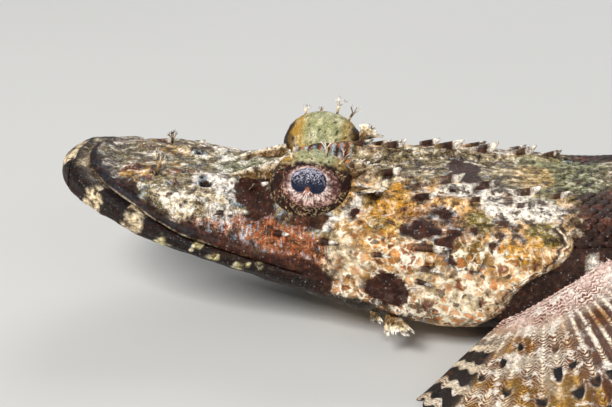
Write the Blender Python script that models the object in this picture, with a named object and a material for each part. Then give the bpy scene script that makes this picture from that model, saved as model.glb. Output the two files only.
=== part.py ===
"""Crocodilefish (a large tentacled flathead), life size, resting on its belly and paired fins.

Metres, +Z up. The head points to -X, the left side faces -Y, and the floor is z = 0.
The fish is laid out straight first, and then posed: the head is raised a little at the neck and the
tail swings to one side. Every solid goes through the same pose.
"""

import math

import bmesh
import bpy
import numpy as np
from mathutils import Vector

MM = 0.001

# Lengths along the fish, in millimetres from the middle of the belly.
UPPER_JAW_TIP = -234.0
LOWER_JAW_TIP = -242.0
JAW_HINGE = -138.0
TAIL_ROOT = 92.0
CAUDAL_ROOT = 232.0
GAP = 0.3

# Stations along the fish from the snout to the root of the caudal fin, in millimetres.
# The columns are the half width, the height of the back, of the widest line and of the belly,
# and how square the section is above and below the widest line (2 is an ellipse).
STATIONS = np.array(
    (
        (-242, 24.0, 34.4, 29, 23.5, 2.8, 2.4),
        (-222, 27.5, 35.7, 25, 18.4, 3.2, 2.4),
        (-205, 30.0, 34.8, 21, 12.2, 2.9, 2.5),
        (-180, 33.5, 34.6, 18, 7.0, 2.9, 2.7),
        (-153, 38.0, 38.0, 15.5, 3.6, 3.0, 3.0),
        (-125, 44.5, 43.0, 15.5, 1.0, 2.9, 3.5),
        (-100, 49.0, 44.8, 19, 1.0, 2.9, 3.6),
        (-78, 48.0, 45.6, 23, 2.0, 3.0, 3.2),
        (-55, 44.5, 47.2, 24, 0.8, 2.7, 3.0),
        (-25, 41.5, 50.0, 24, -1.2, 2.3, 3.0),
        (15, 37.5, 51.0, 24, -1.6, 2.2, 2.8),
        (50, 32.5, 49.8, 25, -0.8, 2.1, 2.6),
        (85, 26.5, 47.5, 26, 4.0, 2.0, 2.3),
        (125, 20.0, 44.0, 27, 9.5, 2.0, 2.0),
        (170, 13.5, 41.0, 28.5, 16.0, 2.0, 2.0),
        (205, 9.5, 40.0, 29.5, 19.5, 2.0, 2.0),
        (236, 6.5, 42.0, 30.5, 19.0, 2.0, 2.0),
    )
)
SNOUT_ROUNDING = 30.0
SNOUT_SQUARENESS = 2.3
TIP_ROUNDING = 12.0
TIP_DEPTH = 0.35
UPPER_TIP_HEIGHT = 34.2
LOWER_TIP_HEIGHT = 29.6

# The line of the mouth, as heights along the snout.
MOUTH_X = (-250.0, -240.0, -233.0, -222.0, -212.0, -202.0, -192.0, -180.0, -155.0, -125.0)
MOUTH_Z = (38.0, 36.0, 33.9, 30.6, 27.4, 23.3, 19.9, 18.0, 15.5, 14.0)
LOWER_LIP_OUT = 2.0

# The pose.
HEAD_PITCH = math.radians(6.8)
PITCH_START = -45.0
PITCH_SPAN = 50.0
PITCH_HEIGHT = 20.0
TAIL_SWING = math.radians(16.0)
SWING_START = 60.0
SWING_SPAN = 170.0

# Eyes.
EYE_X = -150.5
EYE_Y = 21.5
EYE_Z = 40.2
EYE_LONG = 14.6
EYE_TALL = 13.0
EYE_DEEP = 12.0
EYE_LIFT = math.radians(27.0)
CORNEA_BULGE = 0.9
CORNEA_ANGLE = math.radians(48.0)

# The rise of the head round each eye.
ORBIT_RISE = 6.0
ORBIT_START = 0.7
ORBIT_FADE = 0.5

# Bony ridges of the head: height, breadth, and a path of distances along and from the midline.
HEAD_RIDGES = (
    (3.2, 3.8, ((-176, 8.0), (-162, 7.0), (-146, 7.5), (-132, 12.0), (-110, 15.5), (-88, 18.0), (-60, 20.5))),
    (1.6, 4.0, ((-219, 9.5), (-200, 12.0), (-180, 12.5), (-170, 10.5))),
    (1.7, 3.6, ((-216, 21.5), (-196, 26.0), (-178, 29.5))),
    (2.4, 4.2, ((-164, 33.5), (-146, 37.5), (-128, 42.0), (-106, 47.0))),
    (2.0, 4.0, ((-134, 23.5), (-112, 26.0), (-90, 27.0), (-66, 28.0))),
)

# Hollows of the head, ahead of the eye and behind it: depth, breadth, how long, and the middle.
HEAD_HOLLOWS = (
    (2.6, 5.5, 1.8, (-170.0, 29.0, 33.0)),
    (2.0, 6.0, 2.0, (-126.0, 34.0, 42.0)),
)
BROW_TROUGH = 2.6
BROW_TROUGH_BREADTH = 5.0

# The colours of the flesh, in linear light.
SKIN_BROWN = (0.23, 0.13, 0.07)
SKIN_OLIVE = (0.26, 0.21, 0.10)
LIP_DARK = (0.06, 0.04, 0.035)
FIN_TAN = (0.34, 0.22, 0.13)
EYE_BROWN = (0.11, 0.06, 0.045)
GILL_OCHRE = (0.38, 0.25, 0.10)


def curve_through(x, knots, values):
    """A smooth curve through the values that never overshoots them."""
    x = np.asarray(x, float)
    knots = np.asarray(knots, float)
    values = np.asarray(values, float)
    width = np.diff(knots)
    rise = np.diff(values) / width
    slope = np.concatenate(([rise[0]], np.zeros(len(rise) - 1), [rise[-1]]))
    same_way = rise[:-1] * rise[1:] > 0
    total = rise[:-1] + rise[1:]
    slope[1:-1] = np.where(same_way, 2 * rise[:-1] * rise[1:] / np.where(same_way, total, 1), 0)
    i = np.clip(np.searchsorted(knots, x) - 1, 0, len(width) - 1)
    s = np.clip((x - knots[i]) / width[i], 0, 1)
    start = values[i] * (1 + 2 * s) * (1 - s) ** 2 + slope[i] * width[i] * s * (1 - s) ** 2
    end = values[i + 1] * s * s * (3 - 2 * s) + slope[i + 1] * width[i] * s * s * (s - 1)
    return start + end


def smooth_step(value, low, high):
    s = np.clip((value - low) / (high - low), 0, 1)
    return s * s * (3 - 2 * s)


def hump(distance, breadth):
    return np.exp(-((distance / breadth) ** 2))


def mouth_height(x):
    return curve_through(x, MOUTH_X, MOUTH_Z)


def section_shape(x):
    """The half width, back, widest line, belly and squareness of the section at x."""
    return [curve_through(x, STATIONS[:, 0], column) for column in STATIONS[:, 1:].T]


def turn_across(x, y):
    """The turn t where the plain upper surface is y from the midline."""
    half, back, widest, belly, over, under = section_shape(x)
    rise = (back - widest) * np.clip(1 - (y / half) ** over, 0, 1) ** (1 / over)
    return np.arctan2(y, rise) / math.pi


def turn_up(x, z):
    """The turn t where the plain side is z high."""
    half, back, widest, belly, over, under = section_shape(x)
    height = np.where(z > widest, back - widest, widest - belly)
    power = np.where(z > widest, over, under)
    y = half * np.clip(1 - (np.abs(z - widest) / height) ** power, 0, 1) ** (1 / power)
    return np.arctan2(y, z - widest) / math.pi


def turn_under(x, y):
    """The turn t where the plain underside is y from the midline."""
    half, back, widest, belly, over, under = section_shape(x)
    fall = (widest - belly) * np.clip(1 - (y / half) ** under, 0, 1) ** (1 / under)
    return 1 - np.arctan2(y, fall) / math.pi


def from_path(points, path):
    """How far points are from a path, and how far along it they lie, from 0 to 1."""
    nearest = np.full(points.shape[:-1], 1e9)
    along = np.zeros(points.shape[:-1])
    for i, (a, b) in enumerate(zip(path, path[1:])):
        leg = b - a
        s = np.clip((points - a) @ leg / (leg @ leg), 0, 1)
        away = np.linalg.norm(points - a - s[..., None] * leg, axis=-1)
        closer = away < nearest
        nearest = np.where(closer, away, nearest)
        along = np.where(closer, (i + s) / (len(path) - 1), along)
    return nearest, along


def top_path(places):
    """A path on the plain upper surface, from (x, y) places."""
    x, y = np.array(places, float).T
    return np.stack(plain_flesh(x, turn_across(x, y))[:3], axis=-1)


def ridge(points, places, height, breadth):
    """A rounded ridge that fades out at both ends of its path."""
    away, along = from_path(points, top_path(places))
    return height * hump(away, breadth) * np.clip(np.sin(np.pi * along), 0, 1) ** 0.4


def head_relief(x, y, z):
    """How far the bones of the head stand out from its plain rounded form."""
    points = np.stack((x, y, z), axis=-1)
    eye = points - (EYE_X, EYE_Y, EYE_Z)
    around = np.linalg.norm(eye / (EYE_LONG, EYE_TALL, EYE_TALL), axis=-1)
    above = smooth_step(z, 22.0, 32.0)
    inward = 1 - 0.85 * smooth_step(y, EYE_Y + 1, EYE_Y + 11)
    out = ORBIT_RISE * hump(np.clip(around - ORBIT_START, 0, None), ORBIT_FADE) * above * inward
    for height, breadth, places in HEAD_RIDGES:
        out += ridge(points, places, height, breadth)
    for depth, breadth, long, middle in HEAD_HOLLOWS:
        out -= depth * hump(np.linalg.norm((points - middle) / (long, 1, 1), axis=-1), breadth)
    between_eyes = smooth_step(x, -172, -157) * smooth_step(-x, 90, 140)
    out -= BROW_TROUGH * hump(y, BROW_TROUGH_BREADTH) * between_eyes * above
    return out


def plain_flesh(x, t, tip=UPPER_JAW_TIP, tip_height=UPPER_TIP_HEIGHT, out=0.0):
    """A point of the plain rounded form, and its outward direction across the fish."""
    x, t = np.broadcast_arrays(np.asarray(x, float), np.asarray(t, float))
    half, back, widest, belly, over, under = section_shape(x)
    rounding = np.clip((x - tip) / SNOUT_ROUNDING, 0, 1)
    half = (half + out) * (1 - (1 - rounding) ** SNOUT_SQUARENESS) ** (1 / SNOUT_SQUARENESS)
    across, up = np.clip(np.sin(math.pi * t), 0, 1), np.cos(math.pi * t)
    power = np.where(up >= 0, over, under)
    height = np.where(up >= 0, back - widest, widest - belly)
    reach = ((across / half) ** power + (np.abs(up) / height) ** power) ** (-1 / power)
    y, rise = reach * across, reach * up
    closing = np.clip((x - tip) / TIP_ROUNDING, 0, 1)
    depth = TIP_DEPTH + (1 - TIP_DEPTH) * np.sqrt(1 - (1 - closing) ** 2)
    z = tip_height + (widest + rise - tip_height) * depth
    normal_y = (y / half) ** (power - 1) / half
    normal_z = np.sign(up) * (np.abs(rise) / height) ** (power - 1) / height
    length = np.hypot(normal_y, normal_z)
    return x, y, z, normal_y / length, normal_z / length


def flesh(x, t, side, tip=UPPER_JAW_TIP, **shape):
    """A point of the straight fish's surface. t runs from the back (0) down a side to the belly (1)."""
    x, y, z, normal_y, normal_z = plain_flesh(x, t, tip, **shape)
    relief = head_relief(x, y, z) * smooth_step(x, tip, tip + 14)
    y = y + relief * normal_y
    z = z + relief * normal_z
    return np.stack((x, side * y, np.maximum(z, 0.0)), axis=-1)


def flesh_normal(x, t, side):
    """The outward direction of the straight fish's surface."""
    along = flesh(x + 0.5, t, side) - flesh(x - 0.5, t, side)
    down = flesh(x, np.clip(t + 0.004, 0, 1), side) - flesh(x, np.clip(t - 0.004, 0, 1), side)
    normal = side * np.cross(along, down)
    return normal / np.linalg.norm(normal, axis=-1, keepdims=True)


def arc(distance, span, angle):
    """Where a line goes that bends through an angle over a span and then runs on straight."""
    turned = angle * np.clip(distance / span, 0, 1)
    radius = span / angle
    beyond = np.clip(distance - span, 0, None)
    along = radius * np.sin(turned) + beyond * np.cos(angle)
    across = radius * (1 - np.cos(turned)) + beyond * np.sin(angle)
    return along, across, turned


def posed(points):
    """Straight fish to posed fish: the head raised at the neck, the tail swung to the left."""
    points = np.asarray(points, float)
    x, y, z = points[..., 0], points[..., 1], points[..., 2]
    along, lift, turned = arc(np.clip(PITCH_START - x, 0, None), PITCH_SPAN, HEAD_PITCH)
    over = z - PITCH_HEIGHT
    raised_x = np.where(x < PITCH_START, PITCH_START - along + over * np.sin(turned), x)
    raised_z = np.where(x < PITCH_START, PITCH_HEIGHT + lift + over * np.cos(turned), z)
    along, across, turned = arc(np.clip(x - SWING_START, 0, None), SWING_SPAN, TAIL_SWING)
    swung_x = np.where(x > SWING_START, SWING_START + along + y * np.sin(turned), raised_x)
    swung_y = np.where(x > SWING_START, y * np.cos(turned) - across, y)
    return np.stack((swung_x, swung_y, raised_z), axis=-1)


def material(name, colour, roughness=0.6):
    made = bpy.data.materials.get(name)
    if made is None:
        made = bpy.data.materials.new(name)
        made.use_nodes = True
        shader = made.node_tree.nodes["Principled BSDF"]
        shader.inputs["Base Color"].default_value = (*colour, 1)
        shader.inputs["Roughness"].default_value = roughness
        shader.inputs["Metallic"].default_value = 0.0
    return made


def new_object(name, points, faces, colour=None):
    """An object from points in millimetres, with its normals facing out."""
    mesh = bpy.data.meshes.new(name)
    mesh.from_pydata((np.asarray(points, float) * MM).tolist(), [], [list(f) for f in faces])
    work = bmesh.new()
    work.from_mesh(mesh)
    bmesh.ops.recalc_face_normals(work, faces=work.faces)
    work.to_mesh(mesh)
    work.free()
    mesh.shade_smooth()
    made = bpy.data.objects.new(name, mesh)
    bpy.context.scene.collection.objects.link(made)
    if colour is not None:
        mesh.materials.append(colour)
    return made


def tube(rings):
    """Points and faces of a closed tube through rings of the same count, with a fan at each end."""
    rings = np.asarray(rings, float)
    count, around = rings.shape[:2]
    points = rings.reshape(-1, 3)
    faces = []
    for i in range(count - 1):
        for j in range(around):
            k = (j + 1) % around
            faces.append((i * around + j, i * around + k, (i + 1) * around + k, (i + 1) * around + j))
    ends = []
    for ring, order in ((0, 1), (count - 1, -1)):
        centre = len(points) + len(ends)
        ends.append(rings[ring].mean(axis=0))
        for j in range(around):
            k = (j + 1) % around
            faces.append((ring * around + j, ring * around + k, centre)[::order])
    return np.vstack((points, ends)), faces


def section(x, count, **shape):
    """One closed ring of the flesh, down the right side and up the left."""
    t = np.linspace(0, 1, count // 2 + 1)
    right = flesh(x, t, 1.0, **shape)
    left = flesh(x, t[1:-1], -1.0, **shape)[::-1]
    return np.vstack((right, left))


def run_modifier(target, kind, operand, operation):
    modifier = target.modifiers.new(kind, "BOOLEAN")
    modifier.operation = operation
    modifier.solver = "EXACT"
    if isinstance(operand, bpy.types.Collection):
        modifier.operand_type = "COLLECTION"
        modifier.collection = operand
    else:
        modifier.object = operand
    graph = bpy.context.evaluated_depsgraph_get()
    result = bpy.data.meshes.new_from_object(target.evaluated_get(graph))
    target.modifiers.clear()
    target.data = result


def cut_away(target, cutter):
    run_modifier(target, "cut", cutter, "DIFFERENCE")
    bpy.data.objects.remove(cutter)


def keep_inside(target, cutter):
    run_modifier(target, "keep", cutter, "INTERSECT")
    bpy.data.objects.remove(cutter)


def join_pieces(target, pieces):
    """Fuses closed pieces into the target with one union."""
    group = bpy.data.collections.new("pieces")
    for piece in pieces:
        bpy.context.scene.collection.objects.unlink(piece)
        group.objects.link(piece)
    run_modifier(target, "join", group, "UNION")
    for piece in pieces:
        bpy.data.objects.remove(piece)
    bpy.data.collections.remove(group)
    keep_largest(target)


def keep_largest(target):
    """Leaves only the largest connected surface of an object."""
    work = bmesh.new()
    work.from_mesh(target.data)
    bmesh.ops.triangulate(work, faces=work.faces)
    left = set(work.faces)
    shells = []
    while left:
        shell, front = set(), [left.pop()]
        while front:
            face = front.pop()
            shell.add(face)
            for edge in face.edges:
                for near in edge.link_faces:
                    if near in left:
                        left.remove(near)
                        front.append(near)
        shells.append(shell)
    shells.sort(key=lambda shell: sum(face.calc_area() for face in shell))
    loose = [face for shell in shells[:-1] for face in shell]
    bmesh.ops.delete(work, geom=loose, context="FACES")
    work.to_mesh(target.data)
    work.free()


def slice_off(target, point, normal):
    """Cuts away what lies on the side that the normal points to, and closes the cut."""
    work = bmesh.new()
    work.from_mesh(target.data)
    bmesh.ops.bisect_plane(
        work,
        geom=work.verts[:] + work.edges[:] + work.faces[:],
        plane_co=Vector(point) * MM,
        plane_no=Vector(normal),
        clear_outer=True,
    )
    rim = [edge for edge in work.edges if edge.is_boundary]
    bmesh.ops.contextual_create(work, geom=rim)
    bmesh.ops.triangulate(work, faces=[face for face in work.faces if len(face.verts) > 4])
    bmesh.ops.recalc_face_normals(work, faces=work.faces)
    work.to_mesh(target.data)
    work.free()


def pose_object(target):
    """Moves a straight object's vertices to the posed fish."""
    mesh = target.data
    flat = np.empty(len(mesh.vertices) * 3)
    mesh.vertices.foreach_get("co", flat)
    moved = posed(flat.reshape(-1, 3) / MM) * MM
    mesh.vertices.foreach_set("co", moved.ravel())
    mesh.update()


# Head, lower jaw, trunk and tail.

NECK_POINT = (-66.0, 0.0, 28.0)
NECK_SLOPE = math.radians(24.0)
NECK_NORMAL = (math.cos(NECK_SLOPE), 0.0, -math.sin(NECK_SLOPE))


def neck_plane(back):
    """A point of the slanted plane where the head meets the trunk, moved back along its normal."""
    return tuple(p + back * n for p, n in zip(NECK_POINT, NECK_NORMAL))


def mouth_block(name, raise_by, rear):
    """Everything below the line of the mouth and ahead of the jaw's hinge."""
    x = np.linspace(-250.0, rear, 19)
    top = [(px, mouth_height(px) + raise_by) for px in x]
    outline = [(-250.0, -30.0), *top, (rear, -30.0)]
    points = [(px, y, pz) for y in (-80.0, 80.0) for px, pz in outline]
    n = len(outline)
    faces = [tuple(range(n)), tuple(range(2 * n - 1, n - 1, -1))]
    faces += [(i, (i + 1) % n, (i + 1) % n + n, i + n) for i in range(n)]
    return new_object(name, points, faces)


def fish_stations(start, end, count, crowd=1.0):
    return start + (end - start) * np.linspace(0, 1, count) ** crowd


def make_head(around=48):
    x = np.concatenate(
        (fish_stations(UPPER_JAW_TIP + 0.15, -205.0, 8, 1.7), np.linspace(-200.0, -40.0, 33))
    )
    head = new_object(
        "head", *tube([section(px, around) for px in x]), material("skin_head", SKIN_BROWN)
    )
    slice_off(head, NECK_POINT, NECK_NORMAL)
    cut_away(head, mouth_block("mouth_cut", GAP / 2, JAW_HINGE + GAP))
    return head


def make_lower_jaw(around=40):
    x = np.concatenate(
        (fish_stations(LOWER_JAW_TIP + 0.15, -212.0, 8, 1.7), np.linspace(-207.0, -115.0, 17))
    )
    shape = {"tip": LOWER_JAW_TIP, "tip_height": LOWER_TIP_HEIGHT}
    rings = [section(px, around, out=LOWER_LIP_OUT * lip_share(px), **shape) for px in x]
    jaw = new_object("lower_jaw", *tube(rings), material("lip_dark", LIP_DARK))
    keep_inside(jaw, mouth_block("jaw_keep", -GAP / 2, JAW_HINGE))
    return jaw


def lip_share(x):
    """The lower lip stands out at the front, and runs into the cheek at the back."""
    return 1 - smooth_step(x, -190.0, -140.0)


def make_trunk(around=36):
    x = np.linspace(-100.0, TAIL_ROOT - GAP, 25)
    trunk = new_object(
        "trunk", *tube([section(px, around) for px in x]), material("skin_body", SKIN_OLIVE)
    )
    back = [-n for n in NECK_NORMAL]
    slice_off(trunk, neck_plane(GAP), back)
    return trunk


def make_tail(around=28):
    x = np.linspace(TAIL_ROOT, CAUDAL_ROOT, 17)
    return new_object(
        "tail", *tube([section(px, around) for px in x]), material("skin_body", SKIN_OLIVE)
    )


# Eyes, each a globe with a slight corneal bulge, set in a socket cut into the head.


# The papillae on top of each eye: how far round from the front, and how tall.
EYE_PAPILLAE = ((2.35, 2.6), (1.75, 3.8), (1.3, 2.8), (0.75, 3.6))


def eye_frame(side):
    """The eye's centre, and its long, upright and outward directions."""
    centre = np.array((EYE_X, side * EYE_Y, EYE_Z))
    outward = np.array((0.0, side * math.cos(EYE_LIFT), math.sin(EYE_LIFT)))
    long = np.array((1.0, 0.0, 0.0))
    upright = np.array((0.0, -side * math.sin(EYE_LIFT), math.cos(EYE_LIFT)))
    return centre, long, upright, outward


def globe_point(side, polar, turn, grow=0.0):
    """A point of the eye at an angle from its outward pole, turned round that pole."""
    centre, long, upright, outward = eye_frame(side)
    bulge = 1 + CORNEA_BULGE / EYE_DEEP * math.cos(min(polar / CORNEA_ANGLE, 1) * math.pi / 2) ** 2
    return (
        centre
        + long * (EYE_LONG + grow) * math.sin(polar) * math.cos(turn)
        + upright * (EYE_TALL + grow) * math.sin(polar) * math.sin(turn)
        + outward * (EYE_DEEP + grow) * math.cos(polar) * bulge
    )


def globe(name, side, grow, rings=13, around=22, colour=None):
    rows = []
    for i in range(1, rings):
        polar = math.pi * i / rings
        turns = [2 * math.pi * j / around for j in range(around)]
        rows.append([globe_point(side, polar, turn, grow) for turn in turns])
    return new_object(name, *tube(rows), colour)


def make_eye(name, side):
    eye = globe(name, side, 0.0, colour=material("eye_brown", EYE_BROWN, 0.15))
    join_pieces(eye, [eye_papilla(side, turn, tall) for turn, tall in EYE_PAPILLAE])
    return eye


def eye_papilla(side, turn, tall):
    root = globe_point(side, 0.98, turn, -1.6)
    away = root - eye_frame(side)[0]
    away = away / np.linalg.norm(away)
    upward = away * 0.45 + np.array((0.0, 0.0, 0.9))
    return thorn("papilla", root, upward, tall + 1.8, 0.75, sides=5, blunt=0.45)


# Spines and skin flaps of the head.


def thorn(name, root, direction, length, radius, sides=6, blunt=0.0):
    """A tapering spike from a sunk root."""
    direction = np.asarray(direction, float)
    direction = direction / np.linalg.norm(direction)
    across = np.cross(direction, (0.0, 0.0, 1.0))
    across = across / max(np.linalg.norm(across), 1e-6)
    other = np.cross(across, direction)
    rows = []
    for share in (0.0, 0.55, 1.0):
        width = radius * ((1 - share) + blunt * share) + 0.06
        ring = []
        for k in range(sides):
            angle = 2 * math.pi * k / sides
            offset = across * math.cos(angle) + other * math.sin(angle)
            ring.append(root + direction * length * share + offset * width)
        rows.append(ring)
    return new_object(name, *tube(rows))


# Spines of the ridges: place along, distance from the midline, length and height.
TOP_SPINES = (
    (-168.0, 8.0, 7.0, 2.6),
    (-136.0, 11.5, 7.0, 3.0),
    (-124.0, 13.5, 8.0, 3.6),
    (-104.0, 16.5, 9.5, 4.2),
    (-91.0, 18.0, 9.5, 4.2),
    (-76.0, 19.5, 9.0, 3.8),
    (-65.0, 20.3, 7.0, 3.0),
    (-129.0, 24.5, 6.5, 2.6),
    (-111.0, 26.3, 7.0, 2.8),
    (-94.0, 26.6, 7.0, 2.8),
    (-78.0, 27.4, 6.5, 2.4),
    (-198.0, 25.5, 6.0, 2.0),
    (-180.0, 29.3, 8.0, 2.6),
    (-158.0, 35.0, 6.0, 2.2),
    (-142.0, 38.5, 7.0, 2.6),
    (-124.0, 43.0, 7.5, 2.8),
)

# Spines of the preopercle: place along, height, length and how far they stand out.
CHEEK_SPINES = (
    (-108.0, 33.0, 13.0, 3.6),
    (-108.0, 27.5, 8.0, 2.6),
    (-109.0, 22.5, 5.5, 2.0),
)
SPINE_SINK = 2.2


def blade(side, x, t, length, height):
    """A backward-pointing tooth of a ridge: a wide root, a low front edge and a free point behind."""
    at = flesh(x, t, side)
    normal = flesh_normal(x, t, side)
    back = np.array((1.0, 0.0, 0.0))
    across = np.cross(normal, back)
    across /= np.linalg.norm(across)
    root = at - normal * SPINE_SINK
    breadth = 0.17 * length + 0.5
    points = (
        root - back * length * 0.62,
        root + across * breadth,
        root + back * length * 0.30,
        root - across * breadth,
        at + normal * height * 0.55 - back * length * 0.10 + across * breadth * 0.35,
        at + normal * height * 0.55 - back * length * 0.10 - across * breadth * 0.35,
        at + normal * height + back * length * 0.52,
    )
    faces = (
        (0, 3, 2, 1), (0, 1, 4), (0, 5, 3), (0, 4, 5),
        (1, 2, 6), (1, 6, 4), (3, 5, 6), (3, 6, 2), (4, 6, 5),
    )
    return new_object("spine", points, faces)


# Skin flaps: place along, place round, length, width, direction (back, out, up).
SKIN_FLAPS = (
    (-206.0, float(turn_across(-206.0, 15.0)), 7.0, 2.4, (0.35, 0.25, 1.0)),
    (-165.5, float(turn_across(-165.5, 19.0)), 9.5, 3.6, (0.10, 0.15, 1.0)),
    (-137.0, float(turn_across(-137.0, 19.5)), 6.5, 3.0, (0.7, 0.4, 0.7)),
    (-119.0, float(turn_up(-119.0, 5.0)), 9.0, 5.0, (0.45, 1.0, -0.25)),
)
FLAP_THICKNESS = 0.9


def skin_flap(side, x, t, length, width, heading):
    """A flat flap that widens and ends in three points."""
    normal = flesh_normal(x, t, side)
    direction = np.array((heading[0], side * heading[1], heading[2]))
    direction = direction / np.linalg.norm(direction)
    root = flesh(x, t, side) - direction * 2.2
    across = np.cross(direction, normal)
    across = across / np.linalg.norm(across)
    thick = np.cross(across, direction) * FLAP_THICKNESS / 2
    outline = (
        (0.00, -0.30), (0.45, -0.38), (1.00, -0.62), (0.72, -0.18),
        (1.10, 0.05), (0.70, 0.22), (0.95, 0.60), (0.45, 0.36), (0.00, 0.30),
    )
    rows = [
        [root + direction * (length + 2.2) * a + across * width * b + thick * face for a, b in outline]
        for face in (-1, 1)
    ]
    n = len(outline)
    points = [p for row in rows for p in row]
    faces = [(i, (i + 1) % n, (i + 1) % n + n, i + n) for i in range(n)]
    faces += [tuple(range(n)), tuple(range(2 * n - 1, n - 1, -1))]
    return new_object("flap", points, faces)


# Nostrils: place along, distance from the midline and radius of each pit.
NOSTRILS = ((-193.0, 15.0, 1.3), (-186.0, 20.0, 2.4))


def nostril_pit(side, x, y, radius):
    centre = flesh(x, turn_across(x, y), side)
    rows = []
    for i in range(1, 5):
        polar = math.pi * i / 5
        rows.append(
            [
                centre
                + radius * np.array(
                    (
                        1.25 * math.sin(polar) * math.cos(turn),
                        math.sin(polar) * math.sin(turn),
                        math.cos(polar),
                    )
                )
                for turn in np.arange(8) * math.pi / 4
            ]
        )
    return new_object("pit", *tube(rows))


def dress_head(head):
    """Adds the spines and flaps, and then cuts the sockets and nostrils clear."""
    pieces = []
    for side in (-1.0, 1.0):
        pieces += [blade(side, x, turn_across(x, y), *size) for x, y, *size in TOP_SPINES]
        pieces += [blade(side, x, turn_up(x, z), *size) for x, z, *size in CHEEK_SPINES]
        pieces += [skin_flap(side, *flap) for flap in SKIN_FLAPS]
    join_pieces(head, pieces)
    for side in (-1.0, 1.0):
        cut_away(head, globe("socket", side, GAP))
        for nostril in NOSTRILS:
            cut_away(head, nostril_pit(side, *nostril))
    keep_largest(head)


# Gill covers: a plate over the side of the head, thin in front and with a free edge behind.

GILL_TOP = 42.4
GILL_BOTTOM = 9.0
GILL_FRONT = -98.0
GILL_THICKNESS = 2.0
GILL_FRONT_THICKNESS = 0.6
GILL_LIFT = 0.5


def gill_edge(v):
    """Where the free edge of the gill cover is, from its top (0) to its lower end (1)."""
    share = (0.0, 0.10, 0.28, 0.45, 0.62, 0.82, 1.0)
    return curve_through(v, share, (-66.0, -61.5, -66.0, -76.0, -81.0, -84.0, -90.0))


def make_gill_cover(name, side, columns=11, rows=13):
    u = np.linspace(0, 1, columns)[:, None]
    v = np.linspace(0, 1, rows)[None, :]
    x = GILL_FRONT + (gill_edge(v) - GILL_FRONT) * u
    t = turn_up(x, GILL_TOP + (GILL_BOTTOM - GILL_TOP) * v)
    inner = flesh(x, t, side)
    normal = flesh_normal(x, t, side)
    edge_fade = np.sin(np.pi * np.clip(v, 0.0, 1.0)) ** 0.5
    swell = smooth_step(u, 0, 0.8) * edge_fade
    thick = GILL_FRONT_THICKNESS + (GILL_THICKNESS - GILL_FRONT_THICKNESS) * swell
    lower = inner + normal * GILL_LIFT
    upper = inner + normal * (GILL_LIFT + thick)[..., None]
    return sheet_object(name, lower, upper, material("skin_gill", GILL_OCHRE))


def sheet_object(name, lower, upper, colour):
    """A closed sheet between two grids of points, split into triangles alike on both faces."""
    columns, rows = lower.shape[:2]
    points = np.vstack((lower.reshape(-1, 3), upper.reshape(-1, 3)))
    under = columns * rows
    faces = []
    for i in range(columns - 1):
        for j in range(rows - 1):
            a, b = i * rows + j, (i + 1) * rows + j
            c, d = b + 1, a + 1
            triangles = ((a, b, c), (a, c, d)) if (i + j) % 2 else ((a, b, d), (b, c, d))
            for p, q, r in triangles:
                faces.append((r, q, p))
                faces.append((p + under, q + under, r + under))
    rim = [i * rows for i in range(columns)]
    rim += [(columns - 1) * rows + j for j in range(1, rows)]
    rim += [i * rows + rows - 1 for i in range(columns - 2, -1, -1)]
    rim += list(range(rows - 2, 0, -1))
    for p, q in zip(rim, rim[1:] + rim[:1]):
        faces.append((p, q, q + under))
        faces.append((p, q + under, p + under))
    return new_object(name, points, faces, colour)


# Fins: a membrane with its rays raised as ridges on both faces.


def fin(name, middle, rays, rows, ray_thick, web_thick, root_thick, colour, notch=0.0, floor=False):
    """middle(u, v) gives the middle of the fin: u across the rays, v from the root to the margin."""
    columns = 2 * rays - 1
    u = np.linspace(0, 1, columns)
    v = np.linspace(0, 1, rows)
    is_ray = np.arange(columns) % 2 == 0
    reach = np.where(is_ray, 1.0, 1.0 - notch)
    grid_u, grid_v = np.meshgrid(u, v, indexing="ij")
    out_v = grid_v * reach[:, None]
    centre = middle(grid_u, out_v)
    step = 1e-3
    du = middle(np.clip(grid_u + step, 0, 1), out_v) - middle(np.clip(grid_u - step, 0, 1), out_v)
    dv = middle(grid_u, out_v + step) - middle(grid_u, out_v - step)
    normal = np.cross(du, dv)
    normal /= np.linalg.norm(normal, axis=-1, keepdims=True)
    thick = np.where(is_ray, ray_thick, web_thick)[:, None] * (1 - 0.35 * grid_v)
    thick = thick + (root_thick - ray_thick) * np.clip(1 - grid_v * 4, 0, 1) ** 2
    lower = centre - normal * thick[..., None] / 2
    upper = centre + normal * thick[..., None] / 2
    if floor:
        if upper[..., 2].mean() < lower[..., 2].mean():
            lower, upper = upper, lower
        lower[..., 2] = np.maximum(lower[..., 2], 0.0)
        upper[..., 2] = np.maximum(upper[..., 2], thick * 0.85)
    return sheet_object(name, lower, upper, colour)


# First dorsal fin: nine spines, raked back.
DORSAL_1 = (-38.0, 62.0)
DORSAL_1_SPINES = 9
DORSAL_1_HEIGHT = (0.30, 0.86, 1.0, 0.97, 0.86, 0.72, 0.56, 0.38, 0.18)
DORSAL_1_TALL = 44.0
DORSAL_1_RAKE = math.radians(34.0)


def back_height(x):
    return flesh(x, 0.0, 1.0)[..., 2]


def belly_height(x):
    return flesh(x, 1.0, 1.0)[..., 2]


def first_dorsal(u, v):
    x = DORSAL_1[0] + (DORSAL_1[1] - DORSAL_1[0]) * u
    knots = np.linspace(0, 1, DORSAL_1_SPINES)
    tall = DORSAL_1_TALL * curve_through(u, knots, DORSAL_1_HEIGHT)
    back = tall * v * (math.tan(DORSAL_1_RAKE) * (0.75 + 0.25 * v))
    wave = 0.8 * np.sin(u * 14.0) * v
    return np.stack((x + back, wave, back_height(x) + GAP + tall * v), axis=-1)


# Second dorsal and anal fins: eleven soft rays each.
DORSAL_2 = (80.0, 186.0)
ANAL = (84.0, 196.0)
SOFT_RAYS = 11
DORSAL_2_RAKE = math.radians(42.0)


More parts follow.
